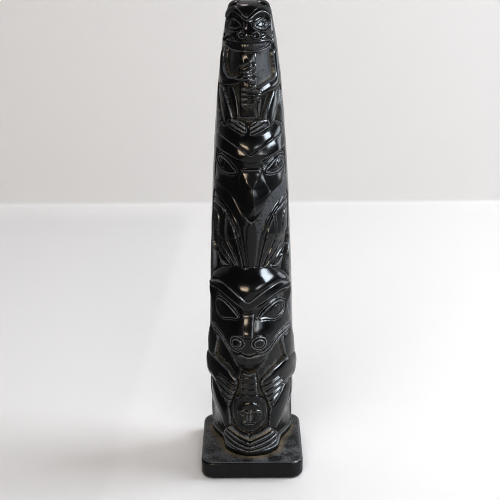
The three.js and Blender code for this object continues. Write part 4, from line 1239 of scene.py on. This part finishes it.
def make_column():
    grid, h, s, z = pole_grid()
    ends = np.array([[0, 0, FOOT_HEIGHT], [0, AXIS_SHIFT * half_width(TOTAL_HEIGHT), TOTAL_HEIGHT]])
    points = np.concatenate([grid.reshape(-1, 3), ends]) * MM
    mesh = mesh_from("carved_skin", points, *grid_faces(*h.shape))
    for name, values in column_marks(h, s, z).items():
        attribute = mesh.attributes.new(name, "FLOAT", "POINT")
        attribute.data.foreach_set("value", np.append(values, (0, 0)).astype(np.float32))
    final = thinned(mesh, COLUMN_TRIANGLES / (2 * ROWS * COLUMNS))
    final.name = "carved_column"
    final.shade_smooth()
    column = bpy.data.objects.new("carved_column", final)
    scene.collection.objects.link(column)
    return column


column = make_column()
print("carved column has", sum(len(p.vertices) - 2 for p in column.data.polygons), "triangles")
print("attributes", [a.name for a in column.data.attributes])

# %% [markdown]
# ## The plinth
#
# The plinth is a square block with round corners and softly broken edges. Its shape follows a rule, so a
# small Geometry Nodes tree makes it: a finely divided cube is pulled in at its edges, and then its square
# plan is pulled into a rounded one. Bevelling a cube would do as well for one block, but the tree's named
# inputs can be changed at any time without starting again. The first cell's helpers write node trees of every
# kind, and the materials use them too.


# %% Tree writer
class TreeWriter:
    """Adds nodes to a tree, and takes numbers or other nodes' outputs as their inputs."""

    def __init__(self, tree):
        self.tree = tree

    def add(self, kind, *values, **settings):
        node = self.tree.nodes.new(kind)
        for name, value in settings.items():
            setattr(node, name, value)
        for socket, value in zip([i for i in node.inputs if i.enabled], values):
            self.feed(socket, value)
        return node

    def feed(self, socket, value):
        if isinstance(value, bpy.types.NodeSocket):
            self.tree.links.new(value, socket)
        elif value is not None:
            socket.default_value = value

    def math(self, operation, *values, **settings):
        return self.add("ShaderNodeMath", *values, operation=operation, **settings).outputs[0]

    def over(self, value, limit):
        """How far a value is past its limit, or 0."""
        return self.math("MAXIMUM", self.math("SUBTRACT", value, limit), 0.0)


def new_tree(name, kind, inputs, outputs):
    """A node tree with named sockets. Each input is a name, a socket kind and a default value."""
    tree = bpy.data.node_groups.new(name, kind)
    for title, socket, value in inputs:
        made = tree.interface.new_socket(title, in_out="INPUT", socket_type=socket)
        if value is not None:
            made.default_value = value
    for title, socket in outputs:
        tree.interface.new_socket(title, in_out="OUTPUT", socket_type=socket)
    start = tree.nodes.new("NodeGroupInput")
    end = tree.nodes.new("NodeGroupOutput")
    return tree, TreeWriter(tree), start.outputs, end.inputs


print("a tree writer can", [name for name in vars(TreeWriter) if not name.startswith("_")])

# %% Plinth tree
PLINTH_SIZES = {
    "Side": plinth_high.x - plinth_low.x,
    "Height": plinth_high.z - plinth_low.z,
    "Corner Radius": 3.6 * MM,
    "Edge Radius": 1.1 * MM,
    "Step": 0.25 * MM,
}


def spare_share(w, a, b):
    """The share of two overhangs to take off, so that a square corner becomes a quarter of a circle."""
    squares = w.math("ADD", w.math("MULTIPLY", a, a), w.math("MULTIPLY", b, b))
    diagonal = w.math("MAXIMUM", w.math("SQRT", squares), TINY)
    return w.math("SUBTRACT", 1.0, w.math("DIVIDE", w.math("MAXIMUM", a, b), diagonal))


def plinth_tree():
    tree, w, given, result = new_tree(
        "rounded_block",
        "GeometryNodeTree",
        [
            *((name, "NodeSocketFloat", size) for name, size in PLINTH_SIZES.items()),
            ("Material", "NodeSocketMaterial", None),
        ],
        [("Geometry", "NodeSocketGeometry")],
    )
    side, height, corner, edge, step = (given[name] for name in PLINTH_SIZES)
    half, half_height = w.math("MULTIPLY", side, 0.5), w.math("MULTIPLY", height, 0.5)
    size = w.add("ShaderNodeCombineXYZ", side, side, height).outputs[0]
    across = w.math("ADD", w.math("DIVIDE", side, step), 1.0)
    up = w.math("ADD", w.math("DIVIDE", height, step), 1.0)
    cube = w.add("GeometryNodeMeshCube", size, across, across, up)

    x, y, z = w.add("ShaderNodeSeparateXYZ", w.add("GeometryNodeInputPosition").outputs[0]).outputs
    plan = w.math("MAXIMUM", w.math("ABSOLUTE", x), w.math("ABSOLUTE", y))
    level = w.math("ABSOLUTE", z)

    # Near an edge, the square corner of the section becomes a quarter of a circle.
    out = w.over(plan, w.math("SUBTRACT", half, edge))
    rise = w.over(level, w.math("SUBTRACT", half_height, edge))
    spare = spare_share(w, out, rise)
    new_plan = w.math("SUBTRACT", plan, w.math("MULTIPLY", out, spare))
    new_level = w.math("SUBTRACT", level, w.math("MULTIPLY", rise, spare))
    shrink = w.math("DIVIDE", new_plan, w.math("MAXIMUM", plan, TINY))
    x, y = w.math("MULTIPLY", x, shrink), w.math("MULTIPLY", y, shrink)
    z = w.math("ADD", w.math("MULTIPLY", w.math("SIGN", z), new_level), half_height)

    # In the same way the square plan becomes a rounded one.
    reach = w.math("SUBTRACT", half, corner)
    over_x, over_y = (w.over(w.math("ABSOLUTE", v), reach) for v in (x, y))
    spare = spare_share(w, over_x, over_y)
    x = w.math("SUBTRACT", x, w.math("MULTIPLY", w.math("SIGN", x), w.math("MULTIPLY", over_x, spare)))
    y = w.math("SUBTRACT", y, w.math("MULTIPLY", w.math("SIGN", y), w.math("MULTIPLY", over_y, spare)))

    moved = w.add("GeometryNodeSetPosition", cube.outputs["Mesh"])
    w.feed(moved.inputs["Position"], w.add("ShaderNodeCombineXYZ", x, y, z).outputs[0])
    real = w.add("GeometryNodeRealizeInstances", moved.outputs[0])
    dressed = w.add("GeometryNodeSetMaterial", real.outputs[0])
    w.feed(dressed.inputs["Material"], given["Material"])
    w.feed(result[0], dressed.outputs[0])
    return tree


def make_plinth(material):
    maker = bpy.data.objects.new("plinth_maker", bpy.data.meshes.new("plinth_maker"))
    scene.collection.objects.link(maker)
    modifier = maker.modifiers.new("rounded_block", "NODES")
    modifier.node_group = plinth_tree()
    inputs = {**PLINTH_SIZES, "Material": material}
    for item in modifier.node_group.interface.items_tree:
        if item.in_out == "INPUT":
            modifier[item.identifier] = inputs[item.name]
    evaluated = maker.evaluated_get(bpy.context.evaluated_depsgraph_get())
    mesh = bpy.data.meshes.new_from_object(evaluated)
    mesh.name = "square_plinth"
    mesh.shade_smooth()
    bpy.data.objects.remove(maker)
    plinth = bpy.data.objects.new("square_plinth", mesh)
    scene.collection.objects.link(plinth)
    return plinth


print("plinth sizes in mm:", {name: round(size / MM, 2) for name, size in PLINTH_SIZES.items()})

# %% [markdown]
# ## Dust, painted light and polish
#
# Two effects are shared by both pieces, so each is a shader node group. The first lays one colour over
# another wherever its mask says so, in an uneven, speckled way, and changes the gloss with it. Dust, old wax,
# the grey edges, which are partly wear and partly painted highlights, the painted sheen on the right side and
# the painted reflection under the bear's chin are all made with it. The second gives the slight unevenness of
# a hand-polished surface as a height for a Bump node, and small changes of roughness. The nodes could be
# repeated in each material, but then every change would have to be made twice.

# %% Shared effects
MIX_SOCKETS = {"RGBA": (6, 7, 2), "FLOAT": (2, 3, 0)}  # a Mix node's two inputs and its result, by kind
PATCH_SCALE = 220.0
PATCH_DETAIL = 3.0
PATCH_WEIGHT = 1.1
SPECKLE_DETAIL = 2.0
USUAL_NOISE = 1.05  # the mean of the patches and the speckle together
USUAL_AMOUNT = 0.7
WIPE_SCALE = 140.0
WIPE_DETAIL = 4.0
GRAIN_SCALE = 1400.0
GRAIN_DETAIL = 3.0
GRAIN_WEIGHT = 0.25


def noise(w, vector, scale, detail):
    node = w.add("ShaderNodeTexNoise", vector)
    w.feed(node.inputs["Scale"], scale)
    w.feed(node.inputs["Detail"], detail)
    return node.outputs[0]


def mix(w, kind, factor, first, second):
    node = w.add("ShaderNodeMix", data_type=kind)
    first_socket, second_socket, result = MIX_SOCKETS[kind]
    w.feed(node.inputs["Factor"], factor)
    w.feed(node.inputs[first_socket], first)
    w.feed(node.inputs[second_socket], second)
    return node.outputs[result]


def dust_and_sheen_group():
    tree, w, given, result = new_tree(
        "dust",
        "ShaderNodeTree",
        [
            ("Vector", "NodeSocketVector", None),
            ("Mask", "NodeSocketFloat", 0.0),
            ("Clean Colour", "NodeSocketColor", (0.01, 0.01, 0.01, 1)),
            ("Dust Colour", "NodeSocketColor", (0.2, 0.16, 0.1, 1)),
            ("Clean Roughness", "NodeSocketFloat", 0.2),
            ("Dust Roughness", "NodeSocketFloat", 0.7),
            ("Speckle Scale", "NodeSocketFloat", 2500.0),
            ("Contrast", "NodeSocketFloat", 1.0),
        ],
        [("Colour", "NodeSocketColor"), ("Roughness", "NodeSocketFloat")],
    )
    patches = noise(w, given["Vector"], PATCH_SCALE, PATCH_DETAIL)
    speckle = noise(w, given["Vector"], given["Speckle Scale"], SPECKLE_DETAIL)
    uneven = w.math("ADD", w.math("MULTIPLY", patches, PATCH_WEIGHT), speckle)
    contrasty = w.math("MULTIPLY", w.math("SUBTRACT", uneven, USUAL_NOISE), given["Contrast"])
    amount = w.math("MULTIPLY", given["Mask"], w.math("ADD", contrasty, USUAL_AMOUNT), use_clamp=True)
    colour = mix(w, "RGBA", amount, given["Clean Colour"], given["Dust Colour"])
    roughness = mix(w, "FLOAT", amount, given["Clean Roughness"], given["Dust Roughness"])
    w.feed(result["Colour"], colour)
    w.feed(result["Roughness"], roughness)
    return tree


def polish_group():
    tree, w, given, result = new_tree(
        "polish",
        "ShaderNodeTree",
        [
            ("Vector", "NodeSocketVector", None),
            ("Roughness", "NodeSocketFloat", 0.2),
            ("Spread", "NodeSocketFloat", 0.08),
        ],
        [("Roughness", "NodeSocketFloat"), ("Height", "NodeSocketFloat")],
    )
    wipes = noise(w, given["Vector"], WIPE_SCALE, WIPE_DETAIL)
    grain = noise(w, given["Vector"], GRAIN_SCALE, GRAIN_DETAIL)
    change = w.math("MULTIPLY", w.math("SUBTRACT", wipes, 0.5), given["Spread"])
    w.feed(result["Roughness"], w.math("ADD", given["Roughness"], change))
    w.feed(result["Height"], w.math("ADD", w.math("MULTIPLY", grain, GRAIN_WEIGHT), wipes))
    return tree


DUST_AND_SHEEN = dust_and_sheen_group()
POLISH = polish_group()
print("shared effects:", DUST_AND_SHEEN.name, POLISH.name)

# %% [markdown]
# ## Polished black resin
#
# The column was cast in black resin and buffed. The high places shine, and show the window as long soft
# highlights. In the hollows the buffing wheel left the casting dull, with a grey bloom and a fine rough skin;
# that grey is stronger on the right side and on the raven's right wing band, where it is painted light. The
# sharp edges are painted light grey: partly rubbed wear, partly painted highlights. Tan dust and old wax have
# settled in the cuts, and the same tan paints the brown reflection under the bear's chin. So the finish is
# built in layers, and each layer follows one attribute of the mesh: the bloom and its painted sheen, the
# painted edge highlights, and the dust with its painted reflection last.

# %% Material helpers
RESIN_BLACK = (0.004, 0.004, 0.0048, 1)
# The grey is a bloom, and painted sheen on the right side. The light grey of the edges is partly wear and
# partly painted highlight. The tan is dust and wax, and under the bear's chin a painted reflection.
BLOOM_AND_SHEEN_GREY = (0.06, 0.065, 0.072, 1)
WEAR_AND_HIGHLIGHT_GREY = (0.165, 0.172, 0.18, 1)
WAX_TAN_AND_REFLECTION = (0.24, 0.185, 0.1, 1)


def new_material(name):
    material = bpy.data.materials.new(name)
    material.use_nodes = True
    return material, TreeWriter(material.node_tree), material.node_tree.nodes["Principled BSDF"]


def attribute_mask(w, name):
    return w.add("ShaderNodeAttribute", attribute_name=name).outputs["Fac"]


def use_group(w, group, **values):
    node = w.add("ShaderNodeGroup")
    node.node_tree = group
    for name, value in values.items():
        w.feed(node.inputs[name.replace("_", " ").title()], value)
    return node.outputs


def dress(w, resin, layer, height, strength, distance):
    """Gives a resin the colour and roughness of its last layer, and a bump in metres from a height."""
    bump = w.add("ShaderNodeBump")
    bump.inputs["Strength"].default_value = strength
    bump.inputs["Distance"].default_value = distance
    w.feed(bump.inputs["Height"], height)
    w.feed(resin.inputs["Base Color"], layer["Colour"])
    w.feed(resin.inputs["Roughness"], layer["Roughness"])
    w.feed(resin.inputs["Normal"], bump.outputs[0])


print("colours run from", RESIN_BLACK[:3], "to", WAX_TAN_AND_REFLECTION[:3])

# %% Column's finish
RESIN_IOR = 1.5
GLOSS = 0.17
DULL = 0.45
SKIN_SCALE = 2200.0
SKIN_DETAIL = 2.0
SKIN_WEIGHT = 0.6


def polished_resin():
    material, w, resin = new_material("polished_resin")
    place = w.add("ShaderNodeTexCoord").outputs["Object"]
    unpolished = attribute_mask(w, "unpolished")
    dull = w.math("MULTIPLY", unpolished, DULL - GLOSS)
    polish = use_group(w, POLISH, vector=place, roughness=w.math("ADD", dull, GLOSS), spread=0.1)
    # Grey bloom in the hollows, and painted sheen on the right side and the raven's right wing band.
    bloom_and_sheen_layer = use_group(
        w,
        DUST_AND_SHEEN,
        vector=place,
        mask=unpolished,
        clean_colour=RESIN_BLACK,
        dust_colour=BLOOM_AND_SHEEN_GREY,
        speckle_scale=1800.0,
        contrast=2.5,
    )
    # Painted edge highlights, partly rubbed wear.
    worn = use_group(
        w,
        DUST_AND_SHEEN,
        vector=place,
        mask=attribute_mask(w, "worn"),
        clean_colour=bloom_and_sheen_layer["Colour"],
        dust_colour=WEAR_AND_HIGHLIGHT_GREY,
        clean_roughness=polish["Roughness"],
        dust_roughness=0.24,
        contrast=2.0,
    )
    # Tan dust in the cuts, and a painted reflection under the bear's chin.
    dust = use_group(
        w,
        DUST_AND_SHEEN,
        vector=place,
        mask=attribute_mask(w, "recess"),
        clean_colour=worn["Colour"],
        dust_colour=WAX_TAN_AND_REFLECTION,
        clean_roughness=worn["Roughness"],
        dust_roughness=0.65,
        contrast=2.0,
    )
    skin = w.math("MULTIPLY", noise(w, place, SKIN_SCALE, SKIN_DETAIL), unpolished)
    height = w.math("ADD", polish["Height"], w.math("MULTIPLY", skin, SKIN_WEIGHT))
    dress(w, resin, dust, height, strength=0.25, distance=0.04 * MM)
    resin.inputs["IOR"].default_value = RESIN_IOR
    return material


column.data.materials.clear()
column.data.materials.append(polished_resin())
print("column's finish:", column.data.materials[0].name)

# %% [markdown]
# ## Satin black resin
#
# The plinth was cast in the same resin, but its top was never polished and has a fine speckle of dust. Dust
# lies on what looks up, so its mask is the surface normal's upward part. The top edge is painted light grey
# in the same way, where the normal leans outwards a little: partly rubbed wear, partly a painted highlight.
# Tan residue from the joint lies round the column's foot, so its mask is worked out from the foot's section,
# which narrows towards the front like the bow of a boat.

# %% Plinth's finish
SATIN_BLACK = (0.004, 0.0042, 0.005, 1)
SATIN_IOR = 1.44
DUST_GREY = (0.15, 0.153, 0.155, 1)
TOP_FROM = 0.9
TOP_STEEPNESS = 8.0
TOP_DUST = 0.8
RIM_TILT = 0.82
RIM_STEEPNESS = 6.0
RESIDUE_SPREAD = 0.13
BOW_PLACE = 2.0
BOW_LENGTH = 8.3


def beside_column(w, place):
    """1 against the column's foot, falling to 0 a little way out, from the foot's section."""
    x, y, _ = w.add("ShaderNodeSeparateXYZ", place).outputs
    foot = FOOT_HALF_WIDTH * MM
    from_bow = w.math("ABSOLUTE", w.math("ADD", y, BOW_PLACE * MM))
    bow = w.math("SUBTRACT", 1.0, w.math("DIVIDE", from_bow, BOW_LENGTH * MM), use_clamp=True)
    wide = w.math("ADD", w.math("ABSOLUTE", x), w.math("MULTIPLY", bow, FOOT_DRAW * MM))
    from_axis = w.math("SUBTRACT", y, AXIS_SHIFT * foot)
    front = w.math("DIVIDE", from_axis, -FACE_DEPTH * foot)
    back = w.math("DIVIDE", from_axis, BACK_DEPTH * foot)
    across = w.math("POWER", w.math("DIVIDE", wide, foot), 2.0)
    along = w.math("POWER", w.math("MAXIMUM", front, back), 2.0)
    out = w.math("SUBTRACT", w.math("SQRT", w.math("ADD", across, along)), 1.0)
    return w.math("SUBTRACT", 1.0, w.math("DIVIDE", out, RESIDUE_SPREAD), use_clamp=True)


def satin_resin():
    material, w, resin = new_material("satin_resin")
    place = w.add("ShaderNodeTexCoord").outputs["Object"]
    normal = w.add("ShaderNodeNewGeometry").outputs["Normal"]
    upward = w.add("ShaderNodeSeparateXYZ", normal).outputs[2]
    top = w.math("MULTIPLY", w.math("SUBTRACT", upward, TOP_FROM), TOP_STEEPNESS, use_clamp=True)
    off_rim = w.math("MULTIPLY", w.math("ABSOLUTE", w.math("SUBTRACT", upward, RIM_TILT)), RIM_STEEPNESS)
    polish = use_group(w, POLISH, vector=place, roughness=0.3, spread=0.25)
    dust = use_group(
        w,
        DUST_AND_SHEEN,
        vector=place,
        mask=w.math("MULTIPLY", top, TOP_DUST),
        clean_colour=SATIN_BLACK,
        dust_colour=DUST_GREY,
        clean_roughness=polish["Roughness"],
        dust_roughness=0.7,
        speckle_scale=2400.0,
        contrast=5.0,
    )
    # The rim of the top edge: a painted highlight, partly rubbed wear.
    worn = use_group(
        w,
        DUST_AND_SHEEN,
        vector=place,
        mask=w.math("SUBTRACT", 1.0, off_rim, use_clamp=True),
        clean_colour=dust["Colour"],
        dust_colour=WEAR_AND_HIGHLIGHT_GREY,
        clean_roughness=dust["Roughness"],
        dust_roughness=0.4,
    )
    residue = use_group(
        w,
        DUST_AND_SHEEN,
        vector=place,
        mask=w.math("MULTIPLY", top, beside_column(w, place)),
        clean_colour=worn["Colour"],
        dust_colour=WAX_TAN_AND_REFLECTION,
        clean_roughness=worn["Roughness"],
        dust_roughness=0.8,
        contrast=2.0,
    )
    dress(w, resin, residue, polish["Height"], strength=0.3, distance=0.1 * MM)
    resin.inputs["IOR"].default_value = SATIN_IOR
    return material


plinth = make_plinth(satin_resin())
print("plinth has", len(plinth.data.polygons), "faces")

# %% [markdown]
# ## Floor and backdrop
#
# The object stands on a pale table with a pale board behind it. They are one bent sheet, with a small round
# where the table meets the board. A black polished thing shows hardly anything but reflections, so this sheet
# is also what draws its edges. The sheet is one-sided, so that the object can be seen from behind.

# %% Stage
BOARD_PLACE = 0.233
BOARD_HEIGHT = 0.9
FLOOR_REACH = 1.4
COVE_RADIUS = 0.002
COVE_STEPS = 8
PALE = (0.81, 0.788, 0.768, 1)
SHEET_ROUGHNESS = 0.6


def pale_sheet():
    material, w, sheet = new_material("pale_sheet")
    sheet.inputs["Base Color"].default_value = PALE
    sheet.inputs["Roughness"].default_value = SHEET_ROUGHNESS
    clear = w.add("ShaderNodeBsdfTransparent")
    back = w.add("ShaderNodeNewGeometry").outputs["Backfacing"]
    mixed = w.add("ShaderNodeMixShader", back, sheet.outputs[0], clear.outputs[0])
    w.feed(material.node_tree.nodes["Material Output"].inputs["Surface"], mixed.outputs[0])
    return material


def new_sheet(name, points, faces, material):
    mesh = bpy.data.meshes.new(name)
    mesh.from_pydata(points, [], faces)
    mesh.materials.append(material)
    sheet = bpy.data.objects.new(name, mesh)
    scene.collection.objects.link(sheet)
    return sheet


def make_stage():
    turns = [math.pi / 2 * i / COVE_STEPS for i in range(COVE_STEPS + 1)]
    front = BOARD_PLACE - COVE_RADIUS
    section = [(-FLOOR_REACH, 0)]
    section += [(front + COVE_RADIUS * math.sin(a), COVE_RADIUS * (1 - math.cos(a))) for a in turns]
    section += [(BOARD_PLACE, BOARD_HEIGHT)]
    points = [(x, y, z) for y, z in section for x in (-FLOOR_REACH, FLOOR_REACH)]
    faces = [(2 * i, 2 * i + 1, 2 * i + 3, 2 * i + 2) for i in range(len(section) - 1)]
    return new_sheet("floor_and_board", points, faces, pale_sheet())


stage = make_stage()
print("stage has", len(stage.data.polygons), "faces")

# %% [markdown]
# ## What the polish mirrors
#
# A dim room keeps the resin black, and a dark sheet on the left of the table and a grey one on the right keep
# its lower sides dark: painted shade in the reflections. Only the polish sees the sheets, and the camera sees
# a pale room in place of the dim.
#
# The lights are of two kinds. A window with a low and a side panel, the dim front of the room, two lamps in
# front and two small ones above are seen in the polish alone, as highlights. Daylight from the right and a
# wide room light do the lighting, and aren't seen in the polish. One set of lights for both would be simpler,
# but then a change to one highlight would change the brightness of the table too.

# %% Room and dark sheets
ROOM_DIM = (0.09, 0.09, 0.1, 1)
ROOM_PALE = (0.78, 0.77, 0.75, 1)
LEFT_DARK_SHEET = [(-0.8, -0.9), (-0.06, -0.9), (-0.06, -0.08), (-0.04, -0.02), (-0.03, 0.22), (-0.8, 0.22)]
RIGHT_GREY_SHEET = [(0.19, -0.3), (0.6, -0.3), (0.6, 0.2), (0.19, 0.2)]
MIRRORED_SHEET_LEVEL = 0.001
MIRRORED_SHEET_ROUGHNESS = 1.0


def make_room():
    """A dim room to reflect, and a pale one behind everything that the camera sees."""
    world = bpy.data.worlds.new("room")
    world.use_nodes = True
    w = TreeWriter(world.node_tree)
    seen = w.add("ShaderNodeLightPath").outputs["Is Camera Ray"]
    background = world.node_tree.nodes["Background"]
    w.feed(background.inputs["Color"], mix(w, "RGBA", seen, ROOM_DIM, ROOM_PALE))
    return world


def make_mirrored_sheet(name, corners, grey):
    """A dark sheet on the table, which only the polished surfaces see: painted shade in their reflections."""
    material, _, sheet_surface = new_material(name)
    sheet_surface.inputs["Base Color"].default_value = (grey, grey, grey, 1)
    sheet_surface.inputs["Roughness"].default_value = MIRRORED_SHEET_ROUGHNESS
    points = [(x, y, MIRRORED_SHEET_LEVEL) for x, y in corners]
    mirrored_sheet = new_sheet(name, points, [range(len(corners))], material)
    mirrored_sheet.visible_camera = False
    mirrored_sheet.visible_diffuse = False
    mirrored_sheet.visible_shadow = False
    return mirrored_sheet


scene.world = make_room()
# Sheets that only the polish sees: painted shade in the reflections of the lower sides.
left_dark_sheet = make_mirrored_sheet("left_dark_sheet", LEFT_DARK_SHEET, grey=0.1)
right_grey_sheet = make_mirrored_sheet("right_grey_sheet", RIGHT_GREY_SHEET, grey=0.3)
print("room:", scene.world.name, "with", left_dark_sheet.name, "and", right_grey_sheet.name)

# %% Lights
MIDDLE = (0, 0, 0.06)
HEAD = (0, 0, 0.12)
COOL = (0.86, 0.93, 1.0)
WARM = (1.0, 0.84, 0.64)
PINK = (1.0, 0.85, 0.9)
SOFT = (1.0, 0.97, 0.95)
NEUTRAL = (1.0, 0.995, 0.99)
# Each light has its place, the point it looks at, its width and height in metres, its watts and its colour.
HIGHLIGHTS = {
    "window": ((0.25, -0.115, 0.25), (-0.1, -0.05, 0.03), (0.16, 0.2), 2.5, COOL),
    "window_side": ((0.29, 0.09, 0.1), MIDDLE, (0.1, 0.14), 0.25, COOL),
    "window_low": ((0.172, -0.22, 0.11), MIDDLE, (0.12, 0.04), 0.08, COOL),
    "room_front": ((0, -0.6, 0.12), MIDDLE, (1.0, 0.5), 0.45, SOFT),
    "top_lamp_back": ((-0.055, 0.22, 0.48), HEAD, (0.05, 0.05), 0.22, PINK),
    "top_lamp_front": ((-0.136, -0.172, 0.573), HEAD, (0.05, 0.05), 0.22, PINK),
    "left_lamp": ((-0.17, -0.4, 0.15), MIDDLE, (0.18, 0.08), 0.8, WARM),
    "right_lamp": ((0.205, -0.4, 0.15), MIDDLE, (0.12, 0.05), 0.22, NEUTRAL),
}
LIGHTING = {
    "daylight": ((0.6, 0.08, 0.5), MIDDLE, (0.4, 0.4), 5.0, COOL),
    "room_light": ((-0.05, -0.6, 0.75), (0, 0.1, 0.05), (0.9, 0.9), 6.8, NEUTRAL),
}


def add_light(name, place, target, size, power, colour, mirrored):
    """A rectangular light that the camera does not see. It shows in the polish, or else it lights things."""
    data = bpy.data.lights.new(name, "AREA")
    data.shape = "RECTANGLE"
    data.size, data.size_y = size
    data.energy = power
    data.color = colour
    light = bpy.data.objects.new(name, data)
    light.location = place
    light.rotation_euler = (Vector(target) - Vector(place)).to_track_quat("-Z", "Y").to_euler()
    light.visible_camera = False
    light.visible_glossy = mirrored
    light.visible_diffuse = not mirrored
    scene.collection.objects.link(light)


for lights, mirrored in ((HIGHLIGHTS, True), (LIGHTING, False)):
    for name, light in lights.items():
        add_light(name, *light, mirrored)

# %% [markdown]
# ## Joining the frame
#
# Both new pieces ride on the frame's one body and stand for its two solids.

# %% Finish
for piece, node, finish in ((column, "totem_pole", "polished_resin"), (plinth, "plinth", "satin_resin")):
    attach(piece, "root")
    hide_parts(node)
